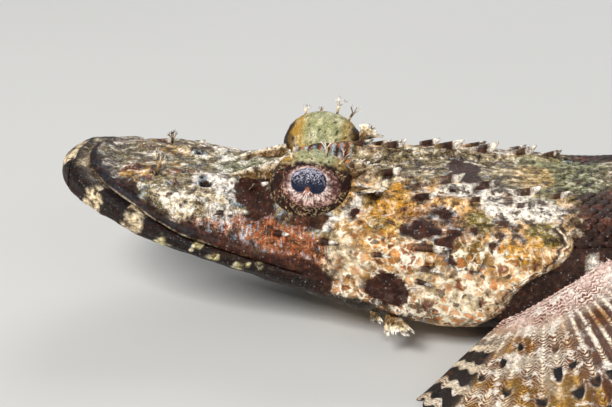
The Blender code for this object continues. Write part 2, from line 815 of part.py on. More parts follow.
def second_dorsal(u, v):
    x = DORSAL_2[0] + (DORSAL_2[1] - DORSAL_2[0]) * u
    tall = curve_through(u, (0.0, 0.12, 0.35, 0.7, 1.0), (23.0, 31.0, 30.0, 23.0, 14.0))
    back = tall * v * math.tan(DORSAL_2_RAKE) * (0.7 + 0.3 * v)
    wave = 1.0 * np.sin(u * 11.0 + 0.6) * v
    return np.stack((x + back, wave, back_height(x) + GAP + tall * v), axis=-1)


def anal(u, v):
    """Folded back so that its margin just clears the floor."""
    x = ANAL[0] + (ANAL[1] - ANAL[0]) * u
    root = belly_height(x) - GAP
    drop = np.minimum(root - 1.2, 13.5) * (1 - 0.25 * u)
    back = 15.0 * v * (0.75 + 0.25 * v)
    wave = 1.2 * np.sin(u * 9.0) * v
    return np.stack((x + back, wave, root - drop * v), axis=-1)


# Caudal fin: a rounded fan.
CAUDAL_RAYS = 14
CAUDAL_LONG = 72.0
CAUDAL_SPREAD = 29.0
CAUDAL_MIDDLE = 30.5
CAUDAL_ROOT_HALF = 9.5


def caudal(u, v):
    """The lowest ray runs down to the floor."""
    v = np.clip(v, 0, 1)
    across = 2 * u - 1
    long = CAUDAL_LONG * (1 - 0.16 * across**2 - 0.06 * np.abs(across))
    root = CAUDAL_MIDDLE + CAUDAL_ROOT_HALF * across
    spread = (CAUDAL_SPREAD - CAUDAL_ROOT_HALF) * across * np.sin(v * math.pi / 2) ** 0.9
    wave = 1.5 * np.sin(u * 8.0 + 1.0) * v
    return np.stack((CAUDAL_ROOT + GAP + long * v, wave, root + spread), axis=-1)


# Pectoral fins: broad fans spread forward, out and back over the floor.
PECTORAL_RAYS = 20
FIN_SINK = 1.5
PECTORAL_ROOT_X = (-79.0, -50.0)
PECTORAL_ROOT_Z = (12.0, 35.0)
PECTORAL_SWEEP = (math.radians(-42.0), math.radians(62.0))
PECTORAL_LONG = (0.0, 0.2, 0.55, 0.85, 1.0), (45.0, 61.0, 71.0, 64.0, 54.0)
PECTORAL_MARGIN = (0.0, 0.35, 0.7, 1.0), (0.4, 0.4, 4.0, 12.0)


def pectoral(side):
    def middle(u, v):
        v = np.clip(v, 0, 1)
        x = PECTORAL_ROOT_X[0] + (PECTORAL_ROOT_X[1] - PECTORAL_ROOT_X[0]) * u
        t = turn_up(x, PECTORAL_ROOT_Z[0] + (PECTORAL_ROOT_Z[1] - PECTORAL_ROOT_Z[0]) * u)
        root = posed(flesh(x, t, side) - flesh_normal(x, t, side) * FIN_SINK)
        sweep = PECTORAL_SWEEP[0] + (PECTORAL_SWEEP[1] - PECTORAL_SWEEP[0]) * u
        long = curve_through(u, *PECTORAL_LONG)
        margin = curve_through(u, *PECTORAL_MARGIN)
        reach = long * v
        arch = 7.0 * np.sin(np.pi * np.clip(v, 0, 1)) * (0.35 + 0.65 * u)
        wave = 1.3 * np.sin(u * 26.0) * v * v
        z = root[..., 2] * (1 - v) ** 1.6 + margin * (1 - (1 - v) ** 1.6) + arch + wave
        px = root[..., 0] + reach * np.sin(sweep)
        py = root[..., 1] + side * reach * np.cos(sweep)
        return np.stack((px, py, z), axis=-1)

    return middle


# Pelvic fins: set under the body behind the pectorals, spread back and out on the floor.
PELVIC_RAYS = 6
PELVIC_ROOT_X = (-30.0, -12.0)
PELVIC_ROOT_Y = (28.5, 21.0)
PELVIC_SWEEP = (math.radians(18.0), math.radians(66.0))
PELVIC_LONG = (0.0, 0.5, 1.0), (46.0, 72.0, 62.0)


def pelvic(side):
    def middle(u, v):
        v = np.clip(v, 0, 1)
        x = PELVIC_ROOT_X[0] + (PELVIC_ROOT_X[1] - PELVIC_ROOT_X[0]) * u
        t = turn_under(x, PELVIC_ROOT_Y[0] + (PELVIC_ROOT_Y[1] - PELVIC_ROOT_Y[0]) * u)
        root = flesh(x, t, side) - flesh_normal(x, t, side) * FIN_SINK
        sweep = PELVIC_SWEEP[0] + (PELVIC_SWEEP[1] - PELVIC_SWEEP[0]) * u
        reach = curve_through(u, *PELVIC_LONG) * v
        arch = 2.6 * np.sin(np.pi * np.clip(v, 0, 1))
        z = root[..., 2] * (1 - v) ** 2 + 0.5 * v + arch
        px = root[..., 0] + reach * np.sin(sweep)
        py = root[..., 1] + side * reach * np.cos(sweep)
        return np.stack((px, py, z), axis=-1)

    return middle


def grown_flesh(around=44):
    """The posed body, larger by the gap, which trims the roots of the paired fins."""
    rings = []
    t = np.linspace(0, 1, around // 2 + 1)
    for x in np.linspace(-125.0, 70.0, 40):
        right = flesh(x, t, 1.0) + flesh_normal(x, t, 1.0) * GAP
        left = (right * (1.0, -1.0, 1.0))[1:-1][::-1]
        rings.append(posed(np.vstack((right, left))))
    return new_object("body_grown", *tube(rings))


def make_fins():
    tan = material("fin_membrane", FIN_TAN)
    straight = [
        fin("dorsal_fin_1", first_dorsal, DORSAL_1_SPINES, 6, 1.5, 0.6, 2.0, tan, notch=0.14),
        fin("dorsal_fin_2", second_dorsal, SOFT_RAYS, 6, 1.3, 0.6, 1.8, tan, notch=0.06),
        fin("anal_fin", anal, SOFT_RAYS, 5, 1.3, 0.6, 1.6, tan, notch=0.06),
        fin("caudal_fin", caudal, CAUDAL_RAYS, 9, 1.4, 0.6, 4.0, tan, notch=0.03),
    ]
    for one in straight:
        pose_object(one)
    for word, side in (("left", -1.0), ("right", 1.0)):
        paired = (
            fin("pectoral_fin_" + word, pectoral(side), PECTORAL_RAYS, 9, 1.5, 0.6, 3.0, tan, 0.04, True),
            fin("pelvic_fin_" + word, pelvic(side), PELVIC_RAYS, 9, 1.7, 0.7, 2.6, tan, 0.05, True),
        )
        for one in paired:
            cut_away(one, grown_flesh())
            keep_largest(one)


def make_fish():
    for old in list(bpy.data.objects):
        bpy.data.objects.remove(old)
    head = make_head()
    dress_head(head)
    flesh_nodes = [head, make_lower_jaw(), make_trunk(), make_tail()]
    for word, side in (("left", -1.0), ("right", 1.0)):
        flesh_nodes.append(make_eye("eye_" + word, side))
        flesh_nodes.append(make_gill_cover("gill_cover_" + word, side))
    for node in flesh_nodes:
        pose_object(node)
    make_fins()


make_fish()
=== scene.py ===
"""A life-size crocodilefish at rest, its skin, eyes, spines, skin flaps and fins."""

import math
import random

import bmesh
import bpy
import numpy as np
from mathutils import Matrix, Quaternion, Vector, noise


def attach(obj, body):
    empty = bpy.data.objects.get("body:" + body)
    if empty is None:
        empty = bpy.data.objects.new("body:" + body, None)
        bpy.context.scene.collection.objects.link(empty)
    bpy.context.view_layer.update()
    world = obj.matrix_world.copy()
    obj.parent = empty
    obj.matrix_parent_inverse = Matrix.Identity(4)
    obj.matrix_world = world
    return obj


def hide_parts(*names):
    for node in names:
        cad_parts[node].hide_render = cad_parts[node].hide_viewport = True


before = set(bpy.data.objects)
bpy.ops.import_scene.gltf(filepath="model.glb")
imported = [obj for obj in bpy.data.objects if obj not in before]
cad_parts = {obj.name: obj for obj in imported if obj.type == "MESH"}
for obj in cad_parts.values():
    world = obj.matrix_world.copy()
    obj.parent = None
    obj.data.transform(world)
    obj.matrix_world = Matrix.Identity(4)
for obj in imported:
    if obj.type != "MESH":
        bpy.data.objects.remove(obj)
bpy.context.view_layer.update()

# The skin of the head, jaws, body and tail: one moist skin from the lips to the root of the tail fin,
# with the mouth as a fold in it. It follows the fish's sections, and the bones of the head lift it.
# The fish is laid out straight in millimetres and then posed, head to -X and left side to -Y.
MM = 0.001
UPPER_JAW_TIP = -234.0
LOWER_JAW_TIP = -241.85
MOUTH_CORNER = -145.0
SKIN_END = 240.0

# The columns are the place along, the half width, the height of the back, of the widest line and of
# the belly, and how square the section is above and below the widest line.
STATIONS = np.array(
    (
        (-242, 24.0, 34.4, 29, 23.5, 2.8, 2.4),
        (-222, 27.5, 35.7, 25, 18.4, 3.2, 2.4),
        (-205, 30.0, 34.8, 21, 12.2, 2.9, 2.5),
        (-180, 33.5, 34.6, 18, 7.0, 2.9, 2.7),
        (-153, 38.0, 38.0, 15.5, 3.6, 3.0, 3.0),
        (-125, 44.5, 43.0, 15.5, 1.0, 2.9, 3.5),
        (-100, 49.0, 44.8, 19, 1.0, 2.9, 3.6),
        (-78, 48.0, 45.6, 23, 2.0, 3.0, 3.2),
        (-55, 44.5, 47.2, 24, 0.8, 2.7, 3.0),
        (-25, 41.5, 50.0, 24, -1.2, 2.3, 3.0),
        (15, 37.5, 51.0, 24, -1.6, 2.2, 2.8),
        (50, 32.5, 49.8, 25, -0.8, 2.1, 2.6),
        (85, 26.5, 47.5, 26, 4.0, 2.0, 2.3),
        (125, 20.0, 44.0, 27, 9.5, 2.0, 2.0),
        (170, 13.5, 41.0, 28.5, 16.0, 2.0, 2.0),
        (205, 9.5, 40.0, 29.5, 19.5, 2.0, 2.0),
        (236, 6.5, 42.0, 30.5, 19.0, 2.0, 2.0),
    )
)
SNOUT_ROUNDING = 30.0
SNOUT_SQUARENESS = 2.3
TIP_ROUNDING = 12.0
TIP_DEPTH = 0.35
UPPER_TIP_HEIGHT = 34.2
LOWER_TIP_HEIGHT = 29.6
MOUTH_X = (-250.0, -240.0, -233.0, -222.0, -212.0, -202.0, -192.0, -180.0, -155.0, -125.0)
MOUTH_Z = (38.0, 36.0, 33.9, 30.6, 27.4, 23.3, 19.9, 18.0, 15.5, 14.0)
LOWER_LIP_OUT = 2.0
TAPER_START = 224.0
TAIL_MIDDLE = 30.5

HEAD_PITCH = math.radians(6.8)
PITCH_START = -45.0
PITCH_SPAN = 50.0
PITCH_HEIGHT = 20.0
TAIL_SWING = math.radians(16.0)
SWING_START = 60.0
SWING_SPAN = 170.0

EYE_X = -150.5
EYE_Y = 21.5
EYE_Z = 40.2
EYE_LONG = 14.6
EYE_TALL = 13.0
EYE_DEEP = 12.0
ORBIT_RISE = 6.0
ORBIT_START = 0.7
ORBIT_FADE = 0.5

# Bony ridges of the head: height, breadth, and a path of places along and from the midline. Then
# hollows: depth, breadth, how many times longer than broad, and the middle.
HEAD_RIDGES = (
    (
        3.2, 3.8,
        ((-176, 8.0), (-162, 7.0), (-146, 7.5), (-132, 12.0), (-110, 15.5), (-88, 18.0), (-60, 20.5)),
    ),
    (1.6, 4.0, ((-219, 9.5), (-200, 12.0), (-180, 12.5), (-170, 10.5))),
    (1.7, 3.6, ((-216, 21.5), (-196, 26.0), (-178, 29.5))),
    (2.4, 4.2, ((-164, 33.5), (-146, 37.5), (-128, 42.0), (-106, 47.0))),
    (2.0, 4.0, ((-134, 23.5), (-112, 26.0), (-90, 27.0), (-66, 28.0))),
)
HEAD_HOLLOWS = (
    (2.6, 5.5, 1.8, (-170.0, 29.0, 33.0)),
    (2.0, 6.0, 2.0, (-126.0, 34.0, 42.0)),
)
BROW_TROUGH_DEPTH = 2.6
BROW_TROUGH_BREADTH = 5.0
# The nostrils: place along and from the midline, and radius.
NOSTRILS = ((-194.2, 6.9, 1.2), (-188.0, 17.2, 2.2))


def curve_through(x, knots, values):
    """A smooth curve through the values that never overshoots them."""
    x = np.asarray(x, float)
    knots = np.asarray(knots, float)
    values = np.asarray(values, float)
    width = np.diff(knots)
    rise = np.diff(values) / width
    slope = np.concatenate(([rise[0]], np.zeros(len(rise) - 1), [rise[-1]]))
    same_way = rise[:-1] * rise[1:] > 0
    total = rise[:-1] + rise[1:]
    slope[1:-1] = np.where(same_way, 2 * rise[:-1] * rise[1:] / np.where(same_way, total, 1), 0)
    i = np.clip(np.searchsorted(knots, x) - 1, 0, len(width) - 1)
    s = np.clip((x - knots[i]) / width[i], 0, 1)
    start = values[i] * (1 + 2 * s) * (1 - s) ** 2 + slope[i] * width[i] * s * (1 - s) ** 2
    end = values[i + 1] * s * s * (3 - 2 * s) + slope[i + 1] * width[i] * s * s * (s - 1)
    return start + end


def smooth_step(value, low, high):
    s = np.clip((value - low) / (high - low), 0, 1)
    return s * s * (3 - 2 * s)


def between(value, start, full, fading, end):
    """1 where the value is between full and fading, and 0 before the start and after the end."""
    return smooth_step(value, start, full) * (1 - smooth_step(value, fading, end))


def hump(distance, breadth):
    return np.exp(-((distance / breadth) ** 2))


def lumps(points, size, seed=0.0):
    """Smooth noise from about -1 to 1 whose lumps have the given size."""
    moved = (np.asarray(points, float) / size + seed * 7.31).reshape(-1, 3)
    values = [noise.noise(place) for place in moved.tolist()]
    return np.array(values).reshape(np.shape(points)[:-1])


def mouth_height(x):
    return curve_through(x, MOUTH_X, MOUTH_Z)


def section_shape(x):
    """The half width, back, widest line, belly and squareness of the section at x."""
    return [curve_through(x, STATIONS[:, 0], column) for column in STATIONS[:, 1:].T]


def turn_across(x, y):
    """The turn t where the plain upper surface is y from the midline."""
    half, back, widest, _, over, _ = section_shape(x)
    rise = (back - widest) * np.clip(1 - (y / half) ** over, 0, 1) ** (1 / over)
    return np.arctan2(y, rise) / math.pi


def turn_up(x, z):
    """The turn t where the plain side is z high."""
    half, back, widest, belly, over, under = section_shape(x)
    height = np.where(z > widest, back - widest, widest - belly)
    power = np.where(z > widest, over, under)
    y = half * np.clip(1 - (np.abs(z - widest) / height) ** power, 0, 1) ** (1 / power)
    return np.arctan2(y, z - widest) / math.pi


def turn_under(x, y):
    """The turn t where the plain underside is y from the midline."""
    half, _, widest, belly, _, under = section_shape(x)
    fall = (widest - belly) * np.clip(1 - (y / half) ** under, 0, 1) ** (1 / under)
    return 1 - np.arctan2(y, fall) / math.pi


def from_path(points, path):
    """How far points are from a path, and how far along it they lie, from 0 to 1."""
    nearest = np.full(points.shape[:-1], 1e9)
    along = np.zeros(points.shape[:-1])
    for i, (a, b) in enumerate(zip(path, path[1:])):
        leg = b - a
        s = np.clip((points - a) @ leg / (leg @ leg), 0, 1)
        away = np.linalg.norm(points - a - s[..., None] * leg, axis=-1)
        closer = away < nearest
        nearest = np.where(closer, away, nearest)
        along = np.where(closer, (i + s) / (len(path) - 1), along)
    return nearest, along


def top_path(places):
    """A path on the plain upper surface, from places along and from the midline."""
    x, y = np.array(places, float).T
    return np.stack(plain_flesh(x, turn_across(x, y))[:3], axis=-1)


def ridge(points, places, height, breadth):
    """A rounded ridge that fades out at both ends of its path."""
    away, along = from_path(points, top_path(places))
    return height * hump(away, breadth) * np.clip(np.sin(np.pi * along), 0, 1) ** 0.4


def head_relief(x, y, z):
    """How far the bones of the head stand out from its plain rounded form."""
    points = np.stack((x, y, z), axis=-1)
    eye = points - (EYE_X, EYE_Y, EYE_Z)
    around = np.linalg.norm(eye / (EYE_LONG, EYE_TALL, EYE_TALL), axis=-1)
    above = smooth_step(z, 22.0, 32.0)
    inward = 1 - 0.85 * smooth_step(y, EYE_Y + 1, EYE_Y + 11)
    out = ORBIT_RISE * hump(np.clip(around - ORBIT_START, 0, None), ORBIT_FADE) * above * inward
    for height, breadth, places in HEAD_RIDGES:
        out += ridge(points, places, height, breadth)
    for depth, breadth, long, middle in HEAD_HOLLOWS:
        out -= depth * hump(np.linalg.norm((points - middle) / (long, 1, 1), axis=-1), breadth)
    between_eyes = smooth_step(x, -172, -157) * smooth_step(-x, 90, 140)
    out -= BROW_TROUGH_DEPTH * hump(y, BROW_TROUGH_BREADTH) * between_eyes * above
    return out


def plain_flesh(x, t, tip=UPPER_JAW_TIP, tip_height=UPPER_TIP_HEIGHT, out=0.0):
    """A point of the plain rounded form, and its outward direction across the fish."""
    x, t = np.broadcast_arrays(np.asarray(x, float), np.asarray(t, float))
    half, back, widest, belly, over, under = section_shape(x)
    rounding = np.clip((x - tip) / SNOUT_ROUNDING, 0, 1)
    half = (half + out) * (1 - (1 - rounding) ** SNOUT_SQUARENESS) ** (1 / SNOUT_SQUARENESS)
    half = np.maximum(half, 1e-4)
    across, up = np.clip(np.sin(math.pi * t), 0, 1), np.cos(math.pi * t)
    power = np.where(up >= 0, over, under)
    height = np.where(up >= 0, back - widest, widest - belly)
    reach = ((across / half) ** power + (np.abs(up) / height) ** power) ** (-1 / power)
    y, rise = reach * across, reach * up
    closing = np.clip((x - tip) / TIP_ROUNDING, 0, 1)
    depth = TIP_DEPTH + (1 - TIP_DEPTH) * np.sqrt(1 - (1 - closing) ** 2)
    z = tip_height + (widest + rise - tip_height) * depth
    normal_y = (y / half) ** (power - 1) / half
    normal_z = np.sign(up) * (np.abs(rise) / height) ** (power - 1) / height
    length = np.hypot(normal_y, normal_z)
    return x, y, z, normal_y / length, normal_z / length


def flesh(x, t, side, tip=UPPER_JAW_TIP, fine=False, **shape):
    """A point of the straight fish's surface. t runs from the back (0) down a side to the belly (1)."""
    x, y, z, normal_y, normal_z = plain_flesh(x, t, tip, **shape)
    relief = head_relief(x, y, z) * smooth_step(x, tip, tip + 14)
    if fine:
        relief = relief + fine_relief(x, y, z, side) * smooth_step(x, tip, tip + 5)
    y = y + relief * normal_y
    z = z + relief * normal_z
    return np.stack((x, side * y, np.maximum(z, 0.0)), axis=-1)


def flesh_normal(x, t, side):
    """The outward direction of the straight fish's surface."""
    along = flesh(x + 0.5, t, side) - flesh(x - 0.5, t, side)
    down = flesh(x, np.clip(t + 0.004, 0, 1), side) - flesh(x, np.clip(t - 0.004, 0, 1), side)
    normal = side * np.cross(along, down)
    return normal / np.linalg.norm(normal, axis=-1, keepdims=True)


def arc(distance, span, angle):
    """Where a line goes that bends through an angle over a span and then runs on straight."""
    turned = angle * np.clip(distance / span, 0, 1)
    radius = span / angle
    beyond = np.clip(distance - span, 0, None)
    along = radius * np.sin(turned) + beyond * np.cos(angle)
    across = radius * (1 - np.cos(turned)) + beyond * np.sin(angle)
    return along, across, turned


def posed(points):
    """Straight fish to posed fish: the head raised at the neck, the tail swung to the left."""
    points = np.asarray(points, float)
    x, y, z = points[..., 0], points[..., 1], points[..., 2]
    along, lift, turned = arc(np.clip(PITCH_START - x, 0, None), PITCH_SPAN, HEAD_PITCH)
    over = z - PITCH_HEIGHT
    raised_x = np.where(x < PITCH_START, PITCH_START - along + over * np.sin(turned), x)
    raised_z = np.where(x < PITCH_START, PITCH_HEIGHT + lift + over * np.cos(turned), z)
    along, across, turned = arc(np.clip(x - SWING_START, 0, None), SWING_SPAN, TAIL_SWING)
    swung_x = np.where(x > SWING_START, SWING_START + along + y * np.sin(turned), raised_x)
    swung_y = np.where(x > SWING_START, y * np.cos(turned) - across, y)
    return np.stack((swung_x, swung_y, raised_z), axis=-1)


def plate_edge(x):
    """How far from the midline the bony plate before the eye reaches."""
    return curve_through(x, (-226, -216, -196, -180, -172), (19.0, 22.5, 27.0, 30.5, 31.5))


def fine_relief(x, y, z, side):
    """What the bones' edges, the lips, the nostrils and the skin's own lumps add to the form."""
    points = np.stack((x, side * y, z), axis=-1)
    head = 1 - smooth_step(x, -75, -45)
    over_mouth = z - mouth_height(x)
    gape = 1 - smooth_step(x, -175, -148)
    out = gape * (1.1 * hump(over_mouth - 2.2, 1.7) - 0.8 * hump(over_mouth - 5.2, 1.1))
    out += gape * (0.7 * hump(over_mouth + 2.4, 2.0) - 0.6 * hump(over_mouth + 6.4, 1.4))
    # The plate before the eye ends in an edge that overhangs the lip, and in a point behind.
    edge = plate_edge(x)
    plate = between(x, -226, -214, -178.5, -176.5) * smooth_step(z, 24, 28)
    out += plate * (1.3 * (1 - smooth_step(y, edge - 0.6, edge + 0.6)) - 0.5)
    # A rim of bone bounds the cheek behind the eye.
    cheek = np.linalg.norm((points * (1, side, 1) - (-122.0, 42.0, 33.0)) / (17, 12, 11), axis=-1)
    out += 1.4 * (1 - smooth_step(cheek, 0.82, 1.08)) * head
    for along, across, radius in NOSTRILS:
        away = np.linalg.norm((points[..., :2] * (1, side) - (along, across)) / (1.25, 1), axis=-1)
        upper = smooth_step(z, 24, 28)
        out += upper * (0.8 * hump(away - radius * 1.65, radius * 0.5) - 2.6 * hump(away, radius * 0.85))
    skin_lumps = 0.50 * lumps(points, 7.0, 1) + 0.28 * lumps(points, 3.0, 2) + 0.12 * lumps(points, 1.5, 3)
    return out + head * skin_lumps + (1 - head) * 0.3 * lumps(points, 9.0, 4)


def seam_height(x):
    """The height of the mouth, carried on behind it low along the side."""
    widest, belly = section_shape(x)[2:4]
    low = widest * 0.6 + belly * 0.4
    return mouth_height(x) + (low - mouth_height(x)) * smooth_step(x, -125, -80)


def shape_at(shape, i):
    """The values of one section, from a shape whose values may change along the fish."""
    return {key: (value[i] if np.ndim(value) else value) for key, value in shape.items()}


def turn_at_height(x, z, **shape):
    """The turn where each section is z high, found on the rounded tip too."""
    turns = np.linspace(0, 1, 401)
    found = []
    for i, place in enumerate(x):
        heights = plain_flesh(place, turns, **shape_at(shape, i))[2]
        found.append(np.interp(-z[i], -heights, turns))
    return np.array(found)


def even_turns(x, first, last, count, **shape):
    """Turns from first to last that are evenly spaced on each section."""
    rows = []
    for i, place in enumerate(x):
        turns = np.linspace(first[i], last[i], 161)
        y, z = plain_flesh(place, turns, **shape_at(shape, i))[1:3]
        run = np.concatenate(([0], np.cumsum(np.hypot(np.diff(y), np.diff(z)))))
        run = run + np.linspace(0, 1e-3, len(turns))
        rows.append(np.interp(np.linspace(0, run[-1], count), run, turns))
    return np.array(rows)


UPPER_COLUMNS = 80
FOLD_COLUMNS = 9
LOWER_COLUMNS = 40

tip_rows = np.linspace(0, 1, 108)
tip_rows = tip_rows * (0.55 + 0.45 * tip_rows ** 0.8) / (0.55 + 0.45)
upper_x = UPPER_JAW_TIP + (MOUTH_CORNER - UPPER_JAW_TIP) * tip_rows
lower_x = LOWER_JAW_TIP + (MOUTH_CORNER - LOWER_JAW_TIP) * tip_rows
rest_x = np.concatenate(
    (
        np.arange(-144.2, -60, 0.9),
        np.arange(-60, 0, 1.7),
        np.arange(0, 226, 2.5),
        np.linspace(226, SKIN_END, 9),
    )
)
upper_x = np.concatenate((upper_x, rest_x))
lower_x = np.concatenate((lower_x, rest_x))


def lip_share(x):
    """The lower lip stands out at the front, and runs into the cheek at the back."""
    return 1 - smooth_step(x, -190.0, -140.0)


lower_shape = {"tip": LOWER_JAW_TIP, "tip_height": LOWER_TIP_HEIGHT}
lower_out = LOWER_LIP_OUT * lip_share(lower_x)
half_gap = curve_through(
    upper_x, (-242, -205, -152, -145, -120, -90, 240), (0.9, 0.7, 0.3, 0.3, 1.5, 2.4, 1.0)
)
upper_lip = turn_at_height(upper_x, seam_height(upper_x) + half_gap)
lower_lip = turn_at_height(lower_x, seam_height(lower_x) - half_gap, out=lower_out, **lower_shape)
upper_turns = even_turns(upper_x, np.zeros(len(upper_x)), upper_lip, UPPER_COLUMNS)
lower_turns = even_turns(
    lower_x, lower_lip, np.ones(len(lower_x)), LOWER_COLUMNS, out=lower_out, **lower_shape
)


def tapered_tail(points):
    """Thins the end of the skin to a wedge over the root of the tail fin."""
    s = np.clip((points[..., 0] - TAPER_START) / (SKIN_END - TAPER_START), 0, 1)
    points[..., 1] *= np.sqrt(1 - 0.985 * s ** 2)
    points[..., 2] = TAIL_MIDDLE + (points[..., 2] - TAIL_MIDDLE) * (1 - 0.25 * s ** 2)
    return points


def skin_side(side):
    """One side of the skin: a grid of rows along the fish and columns from the back to the belly."""
    upper = flesh(upper_x[:, None], upper_turns, side, fine=True)
    lower = flesh(lower_x[:, None], lower_turns, side, fine=True, out=lower_out[:, None], **lower_shape)
    # The mouth's fold runs in between the lips at the front, and lies flat on the side behind them.
    share = np.linspace(0, 1, FOLD_COLUMNS + 2)[1:-1][None, :, None]
    above, below = upper[:, -1:, :], lower[:, :1, :]
    middle = (above + below) / 2
    back = 20 * (1 - smooth_step(middle[..., 0], -240, -212))
    toward = np.stack((back, -middle[..., 1], 0 * back), axis=-1)
    inner = middle + 0.3 * (1 - smooth_step(upper_x, -168, -147)[:, None, None]) * toward
    fold = above + (below - above) * share
    fold = fold + (inner - middle) * np.sin(np.pi * share) ** 0.6
    fold_turns = upper_lip[:, None] + (lower_lip - upper_lip)[:, None] * share[..., 0]
    outside = flesh(upper_x[:, None], fold_turns, side, fine=True)
    closed = smooth_step(upper_x, -149, -145)[:, None, None]
    fold = fold * (1 - closed) + outside * closed
    return tapered_tail(np.concatenate((upper, fold, lower), axis=1))


right_side, left_side = skin_side(1.0), skin_side(-1.0)
rows, columns = right_side.shape[:2]


def grid_faces(rows, columns, offset=0, turned=False):
    i, j = np.meshgrid(np.arange(rows - 1), np.arange(columns - 1), indexing="ij")
    a = offset + i * columns + j
    quads = np.stack((a, a + 1, a + columns + 1, a + columns), axis=-1).reshape(-1, 4)
    return quads[:, ::-1] if turned else quads


def in_scene(name, data):
    """A new object, linked to the scene."""
    made = bpy.data.objects.new(name, data)
    bpy.context.scene.collection.objects.link(made)
    return made


def stored(items, key, width=1, kind=float):
    """What each item of a mesh stores under a name."""
    values = np.empty(len(items) * width, kind)
    items.foreach_get(key, values)
    return values.reshape(-1, width) if width > 1 else values


def closed_mesh(name, points, faces, weld=0.0):
    """A smooth mesh with its faces outward, and with points nearer to each other than the weld joined."""
    mesh = bpy.data.meshes.new(name)
    mesh.from_pydata(points.tolist(), [], [list(map(int, face)) for face in faces])
    work = bmesh.new()
    work.from_mesh(mesh)
    if weld:
        bmesh.ops.remove_doubles(work, verts=work.verts, dist=weld)
    bmesh.ops.dissolve_degenerate(work, dist=1e-7, edges=work.edges)
    bmesh.ops.recalc_face_normals(work, faces=work.faces)
    work.to_mesh(mesh)
    work.free()
    mesh.shade_smooth()
    return mesh


def new_piece(name, straight, faces, skin, weld=0.0, pose=True):
    """A mesh object from points of the straight fish, and those points in the mesh's own order."""
    mesh = closed_mesh(name, np.asarray(straight, float).reshape(-1, 3) * MM, faces, weld * MM)
    straight = stored(mesh.vertices, "co", 3) / MM
    if pose:
        mesh.vertices.foreach_set("co", (posed(straight) * MM).ravel())
        mesh.update()
    mesh.materials.append(skin)
    return in_scene(name, mesh), straight


def tint(red, green, blue):
    """A colour given as it looks on a screen, from 0 to 255, in the linear light that shaders use."""
    shown = np.array((red, green, blue)) / 255
    return np.where(shown <= 0.04045, shown / 12.92, ((shown + 0.055) / 1.055) ** 2.4)


WHITE = tint(244, 234, 220)
CREAM = tint(236, 212, 172)
PINK_CREAM = tint(232, 204, 186)
CHEEK_TAN = tint(222, 168, 100)
PALE_TAN = tint(206, 166, 122)
GOLD = tint(208, 146, 26)
OLIVE = tint(124, 104, 26)
OLIVE_TAN = tint(134, 116, 72)
ORANGE = tint(154, 78, 32)
RUST = tint(108, 54, 30)
CHOCOLATE = tint(52, 22, 14)
BLACK = tint(15, 11, 12)
GREY_GREEN = tint(124, 134, 92)
BLUE_GREY = tint(158, 186, 206)
# The throat's dark grey is painted shadow, the shade under the head.
THROAT_SHADOW = tint(50, 44, 36)
FLAME_YELLOW = tint(236, 224, 160)
FLANK_BROWN = tint(46, 27, 22)

